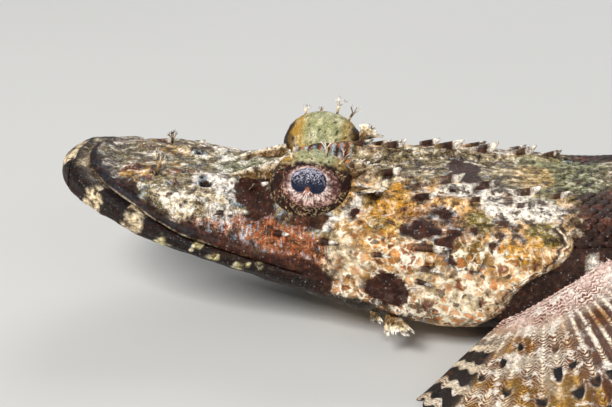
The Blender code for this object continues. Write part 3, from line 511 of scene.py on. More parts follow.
# Patches of colour, from the snout back: the colour, how strong, the middle of the patch (along,
# from the midline, up) and how far it reaches each way.
PATCHES = (
    (OLIVE_TAN, 1.0, (-203, 9, 36), (32, 18, 9)),
    (GREY_GREEN, 0.6, (-174, 2, 35), (12, 7, 6)),
    (GOLD, 0.75, (-213, 17, 35), (6, 6, 4)),
    (RUST, 0.95, (-215, 13.5, 35.5), (3.4, 2.4, 4)),
    (RUST, 0.95, (-209, 19.5, 34.5), (3.2, 2.2, 4)),
    (RUST, 0.9, (-207, 12, 36), (3.0, 2.0, 4)),
    (ORANGE, 0.8, (-200, 14, 36), (3.0, 2.0, 4)),
    (RUST, 0.9, (-197, 19.5, 35), (2.4, 1.6, 4)),
    (RUST, 0.6, (-213, 6, 36), (5, 2.4, 4)),
    (GOLD, 0.5, (-204, 7, 36), (6, 3.4, 4)),
    (RUST, 0.6, (-194, 12, 36), (4, 1.6, 4)),
    (CHOCOLATE, 0.95, (-216, 23.5, 31.5), (9, 4.0, 3.4)),
    (PINK_CREAM, 1.0, (-230, 2, 36), (2.6, 4, 4)),
    (PINK_CREAM, 1.0, (-224, 12, 36), (2.6, 4.6, 4)),
    (PINK_CREAM, 0.8, (-219.5, 17, 35), (1.8, 3.0, 3)),
    (CREAM, 0.5, (-196, 8, 37), (10, 1.6, 3)),
    (WHITE, 1.0, (-184, 8, 36.5), (3.2, 1.8, 3)),
    (CREAM, 0.9, (-190, 26.0, 33.0), (15, 3.6, 3.4)),
    (OLIVE_TAN, 0.8, (-198, 24.0, 34.5), (7, 2.6, 2.4)),
    (CREAM, 1.0, (-193, 29.3, 27.5), (6, 4, 2.8)),
    (WHITE, 0.9, (-179, 19.0, 34.6), (4.6, 4.6, 4)),
    (WHITE, 1.0, (-185.6, 16, 36), (6.0, 4.6, 5)),
    (CHOCOLATE, 1.0, (-188.2, 17.0, 35.6), (1.9, 1.7, 4)),
    (RUST, 0.9, (-184.6, 15.4, 36), (1.7, 1.5, 4)),
    (BLACK, 1.0, (-194.2, 6.9, 36), (1.7, 1.2, 4)),
    (RUST, 0.9, (-186, 31.5, 24.4), (8, 7, 3.2)),
    (ORANGE, 1.0, (-168, 32.5, 26.0), (17, 9, 5.4)),
    (ORANGE, 1.0, (-150, 37, 25.0), (13, 9, 6)),
    (CHOCOLATE, 1.0, (-171, 17, 34), (7.5, 9, 5)),
    (CHOCOLATE, 1.0, (-166.5, 25, 32.5), (7, 6, 5.5)),
    (CHOCOLATE, 0.95, (-166, 26, 32), (10, 4.0, 2.8)),
    (CHOCOLATE, 0.95, (-149, 33, 33), (9, 4, 3.6)),
    (CHOCOLATE, 1.0, (-182, 34, 20.0), (15, 8, 3.2)),
    (CHOCOLATE, 1.0, (-154, 38, 14), (17, 12, 7.5)),
    (CREAM, 0.8, (-136, 41, 25), (7, 10, 8)),
    (CREAM, 0.7, (-98, 49, 20), (20, 12, 9)),
    (WHITE, 1.0, (-93, 21.5, 46), (18, 4.8, 4.6)),
    (GOLD, 1.0, (-122.5, 24, 41.6), (9, 7, 4)),
    (GOLD, 1.0, (-122, 35, 38), (10, 7, 5.5)),
    (tint(228, 170, 40), 0.9, (-120, 39, 36.5), (5, 4, 4)),
    (OLIVE, 0.8, (-127.5, 37, 36.5), (3.6, 4, 3)),
    (OLIVE, 0.7, (-130, 26, 40), (2.6, 4, 3)),
    (WHITE, 1.0, (-134.2, 26, 41), (1.8, 9, 4)),
    (CHOCOLATE, 1.0, (-134.3, 31, 37), (2.4, 3, 2.8)),
    (RUST, 0.8, (-121, 31, 40), (3.4, 1.4, 2)),
    (CHOCOLATE, 1.0, (-112, 26, 43.6), (3.4, 3.0, 4)),
    (RUST, 0.75, (-106.5, 37, 39.5), (12.0, 8.0, 6)),
    (CHOCOLATE, 1.0, (-104.5, 33.0, 41.2), (3.8, 3.2, 2.6)),
    (CHOCOLATE, 1.0, (-111.5, 40.5, 38), (5.4, 5.0, 3.8)),
    (CHOCOLATE, 1.0, (-101.5, 40.5, 37.5), (3.2, 4.0, 2.8)),
    (CHOCOLATE, 1.0, (-97.5, 43.5, 35.5), (2.8, 3.0, 2.4)),
    (CHOCOLATE, 1.0, (-117.2, 39.3, 37), (1.7, 2, 2)),
    (RUST, 0.85, (-100.0, 44.5, 33.0), (7.5, 6.0, 4.4)),
    (CHOCOLATE, 1.0, (-104.0, 44.0, 35.0), (3.0, 4.0, 2.6)),
    (CHOCOLATE, 1.0, (-99.5, 46.0, 32.0), (3.4, 4.0, 2.4)),
    (CHOCOLATE, 0.95, (-93.5, 47.0, 31.5), (2.2, 4.0, 1.8)),
    (CHOCOLATE, 0.95, (-88.0, 44.0, 36.5), (2.4, 3.0, 1.4)),
    (CHOCOLATE, 0.9, (-79.5, 40.0, 38.8), (1.6, 2.4, 1.6)),
    (RUST, 0.9, (-119.0, 30.0, 40.0), (2.0, 1.6, 2)),
    (RUST, 0.9, (-124.5, 33.0, 38.6), (1.4, 1.6, 2)),
    (ORANGE, 0.9, (-115.0, 47.5, 30), (3.6, 4, 4)),
    (CHOCOLATE, 0.95, (-100.1, 47, 31), (3.2, 3, 2.4)),
    (CHOCOLATE, 0.95, (-94, 47.3, 31), (2.4, 3, 2.4)),
    (OLIVE, 1.0, (-92.5, 35.5, 41.5), (6.5, 5.4, 3.4)),
    (tint(146, 108, 34), 1.0, (-95.5, 45.0, 34.5), (6.0, 6, 5)),
    (CHOCOLATE, 0.95, (-94.7, 38.8, 39.5), (1.8, 2, 1.7)),
    (CHOCOLATE, 0.95, (-85.7, 41.5, 39), (2.2, 2.2, 1.8)),
    (CHOCOLATE, 0.95, (-84, 35, 42), (3.0, 2.4, 2)),
    (GOLD, 1.0, (-78.5, 45.5, 35.2), (6.4, 5, 3.8)),
    (OLIVE, 1.0, (-69.5, 38.0, 40.6), (7.0, 6.5, 5.5)),
    (GOLD, 0.8, (-74, 41, 38.8), (3.6, 4, 2.4)),
    (CHOCOLATE, 0.8, (-64.0, 35, 41.0), (1.6, 5, 5)),
    (WHITE, 1.0, (-78, 27, 45), (16, 7.6, 5.4)),
    (RUST, 0.85, (-84, 24, 45.5), (1.8, 4, 3)),
    (RUST, 0.85, (-71, 25, 45.5), (2.2, 2.6, 3)),
    (RUST, 0.9, (-78.5, 11.5, 45.5), (4.2, 2.2, 3)),
    (CHOCOLATE, 1.0, (-101.9, 21.4, 44.9), (1.8, 1.7, 2)),
    (CHOCOLATE, 0.9, (-93.8, 19.6, 46.2), (1.8, 1.6, 2)),
    (CHOCOLATE, 1.0, (-119.9, 45.7, 17.5), (8.6, 7, 6.0)),
    # Painted shadow: the throat under the cheek is darkened.
    (THROAT_SHADOW, 1.0, (-128, 42, 6.5), (20, 14, 5.2)),
    (CHOCOLATE, 0.7, (-108, 48.7, 12), (6, 7, 3.5)),
    (CREAM, 0.8, (-95, 49, 15), (8, 7, 6)),
    (PALE_TAN, 0.8, (-134, 14, 45), (5, 5, 4)),
    (CHOCOLATE, 0.9, (-116, 19, 44.5), (3.4, 2.0, 3)),
    (CHOCOLATE, 1.0, (-98.5, 3.5, 45), (6.0, 7.0, 4)),
    (GREY_GREEN, 0.65, (-66, 8, 47), (17, 15, 6)),
    (GOLD, 0.45, (-74, 4, 47), (9, 7, 5)),
    (CHOCOLATE, 0.9, (-56, 17, 47), (4.5, 4, 3)),
    (WHITE, 0.9, (-54.0, 43, 30), (2.4, 6, 7)),
)
# The nostrils keep their shape, so nothing wanders in these.
NOSTRIL_PATCHES = (
    (WHITE, 0.95, (-187.4, 17.0, 36), (5.6, 4.4, 6)),
    (PINK_CREAM, 0.9, (-187.6, 17.1, 36), (4.2, 3.5, 6)),
    (CHOCOLATE, 1.0, (-188.0, 17.2, 36), (2.6, 2.2, 6)),
    (BLACK, 1.0, (-188.4, 17.2, 36), (1.7, 1.5, 6)),
    (BLACK, 1.0, (-194.2, 6.9, 36), (2.0, 1.3, 6)),
)
LOWER_LIP_PATCHES = (
    (CREAM, 1.0, (-239.5, 5, 33), (4.0, 5, 3.2)),
    (CREAM, 1.0, (-225.5, 25, 25.5), (3.4, 8, 6)),
    (CREAM, 1.0, (-211, 30, 21.5), (4.0, 8, 5)),
    (FLAME_YELLOW, 0.95, (-200, 33, 15.5), (3.2, 8, 3.2)),
    (FLAME_YELLOW, 0.9, (-188, 34, 18.0), (1.3, 8, 3.0)),
    (FLAME_YELLOW, 0.8, (-180.5, 35, 14.5), (1.8, 8, 1.7)),
    (FLAME_YELLOW, 0.7, (-172, 36, 12.5), (2.2, 8, 1.4)),
    (FLAME_YELLOW, 0.85, (-164.2, 37, 19), (1.3, 8, 5)),
)

# The white line that bounds the cheek behind the eye.
CHEEK_RIM = np.array(
    (
        (-144.0, 36.0, 31.5),
        (-138.5, 33.0, 35.5),
        (-135.4, 27.5, 40.5),
        (-132.0, 22.0, 43.4),
        (-125.0, 16.5, 44.3),
    )
)

# Where the free rear edge of the gill cover passes: its heights, and its places along the fish.
GILL_HEIGHTS = (9.0, 15.0, 21.7, 27.4, 33.0, 39.0, 42.4, 60.0)
GILL_PLACES = (-90.0, -84.0, -81.0, -76.0, -66.0, -61.5, -66.0, -76.0)
# The dark bars that cross the body.
BODY_BARS = (-8, 42, 96, 148, 198)

# A patch's soft edge and its outline are shares of its reach. A patch whose colour's three parts add
# up to less than DARK_PATCH is outlined.
PATCH_EDGE = 0.16
OUTLINE_AT = 1.12
DARK_PATCH = 0.08


def tinge(ground, colour, share):
    """Lays a colour over the ground, in place, by a share at each point."""
    ground += (colour - ground) * share[..., None]


def mixed(first, second, share):
    """A colour at each point, from the first to the second."""
    return first + (second - first) * share[..., None]


def lay(ground, places, patches, broken=1.0):
    """Lays patches over the ground; a dark patch gets a thin, broken blue-white outline."""
    for colour, strength, middle, reach in patches:
        away = np.linalg.norm((places - middle) / reach, axis=-1)
        if colour.sum() < DARK_PATCH:
            outline = hump(away - OUTLINE_AT, 0.5 / min(reach)) * broken
            outline = outline * smooth_step(ground.sum(axis=-1), 0.15, 0.6)
            tinge(ground, BLUE_GREY, 0.75 * strength * outline)
        tinge(ground, colour, strength * (1 - smooth_step(away, 1 - PATCH_EDGE, 1 + PATCH_EDGE)))


def cheek_share(x, y):
    """The cheek, from behind the eye to the gill opening."""
    return between(x, -143, -135, -64, -58) * smooth_step(y, 15, 19)


# From here to paint, the bare numbers are places on the straight fish, sizes of marks and shares.
def paint_body(points, places, half, level):
    """The ground under the patches: crown, flanks, belly, the body's bars, cheeks and shoulders."""
    x, y = places[:, 0], places[:, 1]
    head = 1 - smooth_step(x, -70, -50)
    ground = np.broadcast_to(tint(88, 62, 40), points.shape).copy()
    tinge(ground, tint(110, 98, 56), smooth_step(level, 0.72, 0.9))
    edge = 0.22 + 0.28 * smooth_step(x, -40, 10)
    flank = smooth_step(y / half, edge, edge + 0.18) * smooth_step(level, 0.2, 0.4)
    flank = flank * smooth_step(x, -66, -58) * (1 - 0.6 * smooth_step(x, -20, 60))
    tinge(ground, FLANK_BROWN, flank)
    tinge(ground, CREAM, 1 - smooth_step(level, 0.04, 0.22))
    for middle in BODY_BARS:
        bar = hump(x - middle, 11) * (1 - head) * smooth_step(level, 0.1, 0.5)
        tinge(ground, tint(44, 28, 20), 0.8 * bar)
    pale = smooth_step(lumps(points, 13.0, 61), 0.12, 0.4) * (1 - head) * smooth_step(level, 0.25, 0.4)
    tinge(ground, tint(168, 142, 96), 0.55 * pale)
    tinge(ground, OLIVE_TAN, head * smooth_step(level, 0.5, 0.8))
    tinge(ground, CHEEK_TAN, cheek_share(x, y))
    rusty = 0.7 * smooth_step(lumps(points, 4.0, 67), 0.05, 0.35)
    tinge(ground, mixed(FLANK_BROWN, RUST, rusty), flank * between(x, -62, -57, -45, -30))
    return ground


def paint_head_lines(ground, places, steady, wobble, stalk):
    """White rims of the cheek and the snout's plate, rings round a nostril, stripes between the eyes."""
    x, y, z = places.T
    away = from_path(places, CHEEK_RIM)[0]
    tinge(ground, WHITE, 0.9 * (1 - smooth_step(away, 0.9, 1.9)))
    rim = hump(y - plate_edge(x) + 0.6, 1.1) * between(x, -206, -198, -179, -177)
    rim = np.maximum(rim, hump(x + 178.6, 1.1) * between(y, 11, 14, 30, 31.5))
    tinge(ground, WHITE, 0.95 * rim * smooth_step(z, 24, 28))
    along, across, _ = NOSTRILS[1]
    away = np.hypot(steady[:, 0] - along, steady[:, 1] - across)
    ring = smooth_step(np.sin(away * 2.6 + wobble[0] * 0.4), 0.2, 0.7) * (1 - smooth_step(away, 7, 9.5))
    tinge(ground, tint(146, 122, 112), 0.6 * ring * smooth_step(z, 30, 32))
    stripes = np.sin(steady[:, 0] * 1.9 + wobble[2] * 0.5)
    striped = mixed(tint(176, 92, 40), tint(66, 26, 18), smooth_step(stripes, 0.1, 0.5))
    tinge(striped, BLUE_GREY, smooth_step(-stripes, 0.65, 0.85))
    tinge(ground, striped, 0.9 * stalk)


def paint_mouth(ground, points, places, wobble, over_mouth):
    """The dark lower jaw with its pale bars, and the dark lips; gives the share of the lower jaw."""
    x = places[:, 0]
    gape = 1 - smooth_step(x, -150, -138)
    lower = gape * (1 - smooth_step(over_mouth, -0.6, 0.2))
    tinge(ground, mixed(BLACK, tint(44, 26, 20), smooth_step(-over_mouth, 4, 10)), lower)
    lip = gape * hump(over_mouth + 0.4 * wobble[0] - 2.0, 2.6) * (1 - smooth_step(x, -196, -176))
    tinge(ground, tint(30, 30, 38), np.clip(1.3 * lip, 0, 1))
    barred = ground.copy()
    lay(barred, places + (lumps(points, 1.6, 27) * 1.6)[:, None], LOWER_LIP_PATCHES)
    tinge(ground, barred, np.where(over_mouth < 0, lower, 0))
    lip_edge = gape * hump(over_mouth - 0.9, 0.45) * (1 - smooth_step(x, -190, -175))
    tinge(ground, tint(180, 156, 120), 0.8 * lip_edge)
    return lower


def paint_gill_shadow(ground, points):
    """Painted shadow: dark skin behind the gill cover's edge, where the cover shades the gill opening, with
    one pale flame in it; gives its share.
    """
    x, y, z = points.T
    gill_shadow = smooth_step(x - curve_through(z, GILL_HEIGHTS, GILL_PLACES), 0.2, 1.6)
    gill_shadow = gill_shadow * (1 - smooth_step(x, -60, -44)) * (1 - smooth_step(z, 39.5, 42))
    gill_shadow = gill_shadow * smooth_step(np.abs(y), 20, 28)
    flame = hump(x + 54.0, 2.6) * hump(z - 30, 7)
    tinge(ground, FLANK_BROWN, gill_shadow * (1 - flame))
    return gill_shadow


def paint(points):
    """The ground colour of the skin at points of the straight fish, and how strongly its marks show."""
    points = np.asarray(points, float)
    wobble = [lumps(points, 7.0, k) * 2.2 + lumps(points, 2.4, k + 3) * 1.4 for k in (11, 14, 17)]
    steady = points.copy()
    steady[:, 1] = np.abs(steady[:, 1])
    places = points + np.stack(wobble, axis=-1)
    places[:, 1] = np.abs(places[:, 1])
    x, y, z = places.T
    half, back, _, belly = section_shape(points[:, 0])[:4]
    level = np.clip((z - belly) / (back - belly), 0, 1)
    top = smooth_step(level, 0.72, 0.9)
    body = smooth_step(x, -70, -50)
    over_mouth = points[:, 2] - mouth_height(points[:, 0])
    stalk = between(x, -166, -161, -142, -137) * (1 - smooth_step(y, 11, 14)) * top

    ground = paint_body(points, places, half, level)
    lay(ground, places, PATCHES, smooth_step(lumps(points, 2.2, 23), -0.25, 0.2))
    paint_head_lines(ground, places, steady, wobble, stalk)
    lay(ground, steady, NOSTRIL_PATCHES)
    lower = paint_mouth(ground, points, places, wobble, over_mouth)
    # Painted shadow: the skin behind the gill cover's free edge is darkened.
    gill_shadow = paint_gill_shadow(ground, points)

    # The marks are a pale net, winding lines, brown spots and pale flecks; the streaks run down the
    # upper jaw and along the crown.
    cheek = cheek_share(x, y)
    crown = between(x, -140, -130, -84, -70) * (1 - smooth_step(y, 17, 20)) * top
    jaw = between(x, -192, -182, -142, -134) * hump(z - 26, 6.5) * smooth_step(y, 24, 28)
    snout = (1 - smooth_step(x, -176, -165)) * smooth_step(over_mouth, 2, 5)
    nape = between(x, -85, -70, -20, 30) * top
    net = cheek * (1 - smooth_step(z, 34, 41))
    net = np.maximum(net, 0.35 * body * (1 - smooth_step(level, 0.6, 0.8))) * (1 - gill_shadow)
    worms = np.max((snout, 0.5 * crown, 0.1 * cheek, 0.35 * body), axis=0) * (1 - stalk)
    spots = (1 - lower) * (0.35 + 0.6 * np.max((snout, nape, 0.9 * cheek), axis=0))
    flecks = 0.10 + 0.90 * (1 - smooth_step(ground.sum(axis=-1), 0.08, 0.3))
    streaks = 0.5 + 0.5 * (jaw - crown)
    return np.column_stack((ground, streaks)), np.column_stack((net, worms, spots, flecks))


def colour_piece(piece, ground, marks=None):
    """Stores the ground colour and the marks on the piece's points, for its material to read."""
    count = len(piece.data.vertices)
    for name, values in (("ground", ground), ("marks", marks)):
        if values is None:
            continue
        full = np.ones((count, 4))
        full[:, : values.shape[1]] = values
        layer = piece.data.attributes.new(name, "FLOAT_COLOR", "POINT")
        layer.data.foreach_set("color", full.ravel())


def new_material(name):
    made = bpy.data.materials.new(name)
    made.use_nodes = True
    return made, made.node_tree, made.node_tree.nodes["Principled BSDF"]


def fill(socket, value):
    """Stores a value in an input of a node, or links another node's output to it."""
    if isinstance(value, bpy.types.NodeSocket):
        socket.id_data.links.new(value, socket)
    elif socket.type == "RGBA":
        socket.default_value = (*value, 1.0)
    else:
        socket.default_value = value


def put(tree, kind, **inputs):
    """A node with its settings (set_...) and its inputs, by number (i0, i1) or by name."""
    made = tree.nodes.new(kind)
    for key, value in inputs.items():
        if key.startswith("set_"):
            setattr(made, key[4:], value)
    for key, value in inputs.items():
        if not key.startswith("set_"):
            fill(made.inputs[int(key[1:]) if key[1:].isdigit() else key.replace("_", " ")], value)
    return made


def calc(operation, a, b=0.0):
    """A number worked out in a material, from a socket and a number or from two sockets."""
    tree = (a if isinstance(a, bpy.types.NodeSocket) else b).id_data
    return put(tree, "ShaderNodeMath", set_operation=operation, i0=a, i1=b).outputs[0]


def plus(a, b):
    return calc("ADD", a, b)


def minus(a, b):
    return calc("SUBTRACT", a, b)


def times(product, *others):
    for value in others:
        product = calc("MULTIPLY", product, value)
    return product


def vector(operation, a, **inputs):
    """A direction or a colour worked out in a material."""
    return put(a.id_data, "ShaderNodeVectorMath", set_operation=operation, i0=a, **inputs).outputs[0]


def ranged(value, low, high, to_low=0.0, to_high=1.0, kind="LINEAR"):
    """The range from low to high carried to another, and held at its ends."""
    return put(
        value.id_data, "ShaderNodeMapRange", set_interpolation_type=kind,
        Value=value, From_Min=low, From_Max=high, To_Min=to_low, To_Max=to_high,
    ).outputs[0]


def fade(value, low, high):
    """0 where the value is below low and 1 above high, or the other way round where low is larger."""
    return ranged(value, low, high, kind="SMOOTHSTEP")


def over(amount, below, above):
    """One colour laid over another by an amount."""
    tree = amount.id_data
    return put(tree, "ShaderNodeMix", set_data_type="RGBA", i0=amount, i6=below, i7=above).outputs[2]


def clouds(place, scale, detail, roughness=0.5):
    """Soft noise."""
    return put(
        place.id_data, "ShaderNodeTexNoise", Vector=place, Scale=scale, Detail=detail, Roughness=roughness
    ).outputs[0]


def cells_of(place, scale, feature="F1"):
    """The outputs of a texture of cells."""
    return put(place.id_data, "ShaderNodeTexVoronoi", set_feature=feature, Vector=place, Scale=scale).outputs


def channels(colour):
    return put(colour.id_data, "ShaderNodeSeparateColor", i0=colour).outputs[:3]


def light_parts(ground, low, high):
    """1 where the ground is light, and 0 where it is dark."""
    return fade(put(ground.id_data, "ShaderNodeRGBToBW", i0=ground).outputs[0], low, high)


def attribute(tree, name):
    return put(tree, "ShaderNodeAttribute", set_attribute_name=name).outputs


def millimetres(tree):
    """Object coordinates in millimetres."""
    return vector("SCALE", put(tree, "ShaderNodeTexCoord").outputs["Object"], Scale=1000.0)


def wandering(place):
    """Coordinates that wander up to a few millimetres."""
    swirl = put(place.id_data, "ShaderNodeTexNoise", Vector=place, Scale=0.22, Detail=3.0).outputs["Color"]
    centred = vector("SUBTRACT", swirl, i1=(0.5, 0.5, 0.5))
    return vector("ADD", place, i1=vector("SCALE", centred, Scale=7.0))


def line_at(value, middle, width):
    """A thin line where a noise passes a value."""
    return fade(calc("ABSOLUTE", minus(value, middle)), width, width * 0.3)


def dress(shader, colour, height, strength, depth, **inputs):
    """Gives a shader its colour, its bumps and its other inputs."""
    bump = put(shader.id_data, "ShaderNodeBump", Height=height, Strength=strength, Distance=depth)
    fill(shader.inputs["Base Color"], colour)
    fill(shader.inputs["Normal"], bump.outputs[0])
    for key, value in inputs.items():
        fill(shader.inputs[key.replace("_", " ")], value)


skin, tree, shader = new_material("mottled_skin")
plain = millimetres(tree)
wobbly = wandering(plain)
ground = attribute(tree, "ground")
marks = attribute(tree, "marks")
net_share, worm_share, spot_share = channels(marks["Color"])
light_ground = light_parts(ground["Color"], 0.02, 0.12)

# Clouds of brown and tan, and streaks that run down the upper jaw and along the crown.
broad = clouds(plain, 0.28, 4.0, 0.65)
grain = clouds(plain, 0.65, 4.0, 0.7)
cloud_share = minus(0.8, times(net_share, 0.55))
colour = over(times(fade(broad, 0.48, 0.40), cloud_share), ground["Color"], CHOCOLATE)
way = minus(times(ground["Alpha"], 2.0), 1.0)
down = calc("MAXIMUM", way, 0.0)
along = calc("MAXIMUM", times(way, -1.0), 0.0)
pale = times(fade(broad, 0.53, 0.61), light_ground, minus(1.0, times(down, 0.8)))
colour = over(times(pale, plus(times(worm_share, 0.45), 0.25)), colour, WHITE)
downward = clouds(vector("MULTIPLY", plain, i1=(1.0, 0.2, 0.18)), 1.0, 4.0)
lengthwise = clouds(vector("MULTIPLY", wobbly, i1=(0.13, 1.0, 1.0)), 0.40, 3.0)
streaks = ((down, downward, RUST, BLUE_GREY), (along, lengthwise, CHOCOLATE, CREAM))
for share, streak, dark_streak, light_streak in streaks:
    colour = over(times(fade(streak, 0.49, 0.41), share, 0.85), colour, dark_streak)
    colour = over(times(fade(streak, 0.57, 0.63), share, light_ground, 0.7), colour, light_streak)

# Soft orange and brown cells in a pale net, mostly on the cheeks.
to_edge = cells_of(wobbly, 0.27, "DISTANCE_TO_EDGE")["Distance"]
orange_pick, brown_pick, _ = channels(cells_of(wobbly, 0.27)["Color"])
inside = times(fade(to_edge, 0.05, 0.30), net_share, light_ground)
colour = over(times(inside, fade(orange_pick, 0.2, 0.9), 0.85), colour, tint(196, 116, 50))
colour = over(times(inside, fade(brown_pick, 0.74, 0.84), 0.9), colour, tint(96, 44, 26))
thin = ranged(broad, 0.35, 0.65, -0.02, 0.17)
net = times(fade(minus(thin, to_edge), -0.04, 0.05), net_share)
net = times(net, plus(times(light_ground, 0.97), 0.03))
colour = over(times(net, 0.85), colour, tint(240, 228, 204))

# Brown spots, winding pale lines, and a broken web of hair-thin light and dark lines.
spots = cells_of(wobbly, 0.36)
spot_size = times(calc("POWER", channels(spots["Color"])[0], 2.0), 0.42)
spot = times(fade(minus(spot_size, spots["Distance"]), -0.04, 0.05), spot_share)
colour = over(times(spot, 0.9), colour, tint(78, 36, 18))
waves = calc("FRACT", times(clouds(wobbly, 0.42, 2.0), 5.0))
worm = times(line_at(waves, 0.5, 0.14), worm_share, fade(grain, 0.43, 0.53), light_ground)
colour = over(times(worm, 0.7), colour, tint(186, 206, 216))
web = clouds(wobbly, 0.75, 3.0)
light_web = line_at(web, 0.53, 0.028)
web_share = times(plus(times(light_ground, 0.42), 0.06), minus(1.0, times(net_share, 0.6)))
colour = over(times(light_web, web_share), colour, tint(232, 212, 168))
dark_share = minus(0.6, times(net_share, 0.45))
colour = over(times(line_at(web, 0.44, 0.03), dark_share), colour, tint(60, 32, 20))
flecks = cells_of(plain, 0.95)
fleck = times(fade(flecks["Distance"], 0.34, 0.2), fade(channels(flecks["Color"])[1], 0.78, 0.84))
colour = over(times(fleck, marks["Alpha"], 0.28), colour, tint(190, 194, 196))

# Light and dark grain, calmer in the cheeks' net, and a scale is paler at its free edge.
calm = minus(1.0, times(net_share, 0.5))
shade = plus(times(minus(ranged(grain, 0.34, 0.66, 0.35, 1.6), 1.0), calm), 1.0)
shade = times(shade, ranged(attribute(tree, "rim")["Fac"], 0.0, 1.0, 1.0, 1.5))
shade = times(shade, ranged(broad, 0.38, 0.62, 0.62, 1.38))
pebble = cells_of(plain, 0.75, "SMOOTH_F1")["Distance"]
height = plus(plus(grain, times(pebble, -0.5)), plus(times(net, 0.3), times(light_web, 0.3)))
rough = ranged(grain, 0.3, 0.7, 0.42, 0.62)
dress(
    shader, vector("SCALE", colour, Scale=shade), height, 0.8, 0.0008,
    Roughness=rough, Specular_IOR_Level=0.18, Coat_Weight=0.03, Coat_Roughness=0.25,
)

points = np.concatenate((right_side.reshape(-1, 3), left_side.reshape(-1, 3)))
faces = np.concatenate((grid_faces(rows, columns), grid_faces(rows, columns, rows * columns, True)))
last = (rows - 1) * columns
far_last = rows * columns + last
end_ring = list(range(last, last + columns)) + list(range(far_last + columns - 2, far_last, -1))
faces = [list(face) for face in faces]
centre = len(points)
points = np.concatenate((points, [points[end_ring].mean(axis=0)]))
faces += [[a, b, centre] for a, b in zip(end_ring, end_ring[1:] + end_ring[:1])]
skin_piece, straight = new_piece("fish_skin", points, faces, skin, weld=0.004)
colour_piece(skin_piece, *paint(straight))
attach(skin_piece, "root")
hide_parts("head", "lower_jaw", "trunk", "tail")

# The gill covers: a thin plate of bone and skin over each side of the head, sunk into the skin in
# front and free behind, where its soft edge stands off the body over the gill opening.
GILL_TOP = 42.4
GILL_BOTTOM = 9.0
GILL_FRONT = -98.0
GILL_COLUMNS = 56
GILL_ROWS = 72


def gill_edge(v):
    """Where the free edge of the gill cover is, from its top (0) to its lower end (1)."""
    return curve_through(v, (0.0, 0.10, 0.28, 0.45, 0.62, 0.82, 1.0), GILL_PLACES[6::-1])


def rim_of(rows, columns):
    """The points round the edge of a grid, in order."""
    rim = [i * columns for i in range(rows)]
    rim += [(rows - 1) * columns + j for j in range(1, columns)]
    rim += [i * columns + columns - 1 for i in range(rows - 2, -1, -1)]
    return rim + list(range(columns - 2, 0, -1))


def sheet_faces(rows, columns):
    """Faces of a closed sheet between a lower and an upper grid of points."""
    under = rows * columns
    rim = rim_of(rows, columns)
    faces = np.concatenate((grid_faces(rows, columns), grid_faces(rows, columns, under, True)))
    return faces.tolist() + [[p, q, q + under, p + under] for p, q in zip(rim, rim[1:] + rim[:1])]


for word, side in (("left", -1.0), ("right", 1.0)):
    u = np.linspace(0, 1, GILL_COLUMNS)[:, None]
    v = np.linspace(0, 1, GILL_ROWS)[None, :]
    ragged = 0.5 * np.sin(v * 61) + 0.4 * np.sin(v * 97 + 1) - 0.9
    x = GILL_FRONT + (gill_edge(v) + ragged * smooth_step(u, 0.7, 1) - GILL_FRONT) * u
    t = turn_up(x, GILL_TOP + (GILL_BOTTOM - GILL_TOP) * v)
    base = flesh(x, t, side, fine=True)
    normal = flesh_normal(x, t, side)
    ends = np.sin(np.pi * v) ** 0.4
    lift = -0.6 + 2.6 * smooth_step(u, 0.0, 0.75) * ends
    thick = 0.35 + 0.9 * (1 - smooth_step(u, 0.8, 1.0)) * ends
    upper = base + normal * lift[..., None]
    lower = upper - normal * thick[..., None]
    grid = np.stack((lower, upper))
    cover, straight = new_piece("gill_cover_skin_" + word, grid, sheet_faces(GILL_COLUMNS, GILL_ROWS), skin)
    # The cover is edged with a dark line and then a cream one.
    ground, marks = paint(straight)
    share = np.tile(np.broadcast_to(u, x.shape).ravel(), 2)
    tinge(ground[:, :3], CHOCOLATE, 0.97 * hump(share - 0.945, 0.04))
    tinge(ground[:, :3], CREAM, smooth_step(share, 0.972, 0.985))
    colour_piece(cover, ground, marks)
    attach(cover, "root")
    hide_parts("gill_cover_" + word)

# The eyes: large globes raised over the head, each with a scribbled dark ring, a pale speckled iris,
# a two-lobed pupil under a fringed lappet, and a green skin cap. A clear wet coat covers them.
EYE_LIFT = math.radians(27.0)
CORNEA_BULGE = 0.9
CORNEA_ANGLE = math.radians(48.0)
EYE_RINGS = np.concatenate((np.linspace(0.012, 0.85, 56), np.linspace(0.88, 3.1, 36)))
EYE_AROUND = 200
EYE_CAP_GREEN = tint(160, 160, 114)
EYE_CAP_GOLD = tint(190, 146, 62)
IRIS_PINK = tint(236, 206, 196)
PUPIL_BLUE = tint(10, 18, 44)
PUPIL_BACK = 0.9
PUPIL_UP = 0.9


def eye_frame(side):
    """The eye's centre, and its long, upright and outward directions."""
    centre = np.array((EYE_X, side * EYE_Y, EYE_Z))
    outward = np.array((0.0, side * math.cos(EYE_LIFT), math.sin(EYE_LIFT)))
    long = np.array((1.0, 0.0, 0.0))
    upright = np.array((0.0, -side * math.sin(EYE_LIFT), math.cos(EYE_LIFT)))
    return centre, long, upright, outward


def globe_point(side, polar, turn, grow=0.0):
    """A point of the eye at an angle from its outward pole, turned round that pole."""
    centre, long, upright, outward = eye_frame(side)
    bulge = 1 + CORNEA_BULGE / EYE_DEEP * np.cos(np.minimum(polar / CORNEA_ANGLE, 1) * math.pi / 2) ** 2
    polar, turn, grow, bulge = np.broadcast_arrays(polar, turn, grow, bulge)
    return (
        centre
        + long * ((EYE_LONG + grow) * np.sin(polar) * np.cos(turn))[..., None]
        + upright * ((EYE_TALL + grow) * np.sin(polar) * np.sin(turn))[..., None]
        + outward * ((EYE_DEEP + grow) * np.cos(polar) * bulge)[..., None]
    )


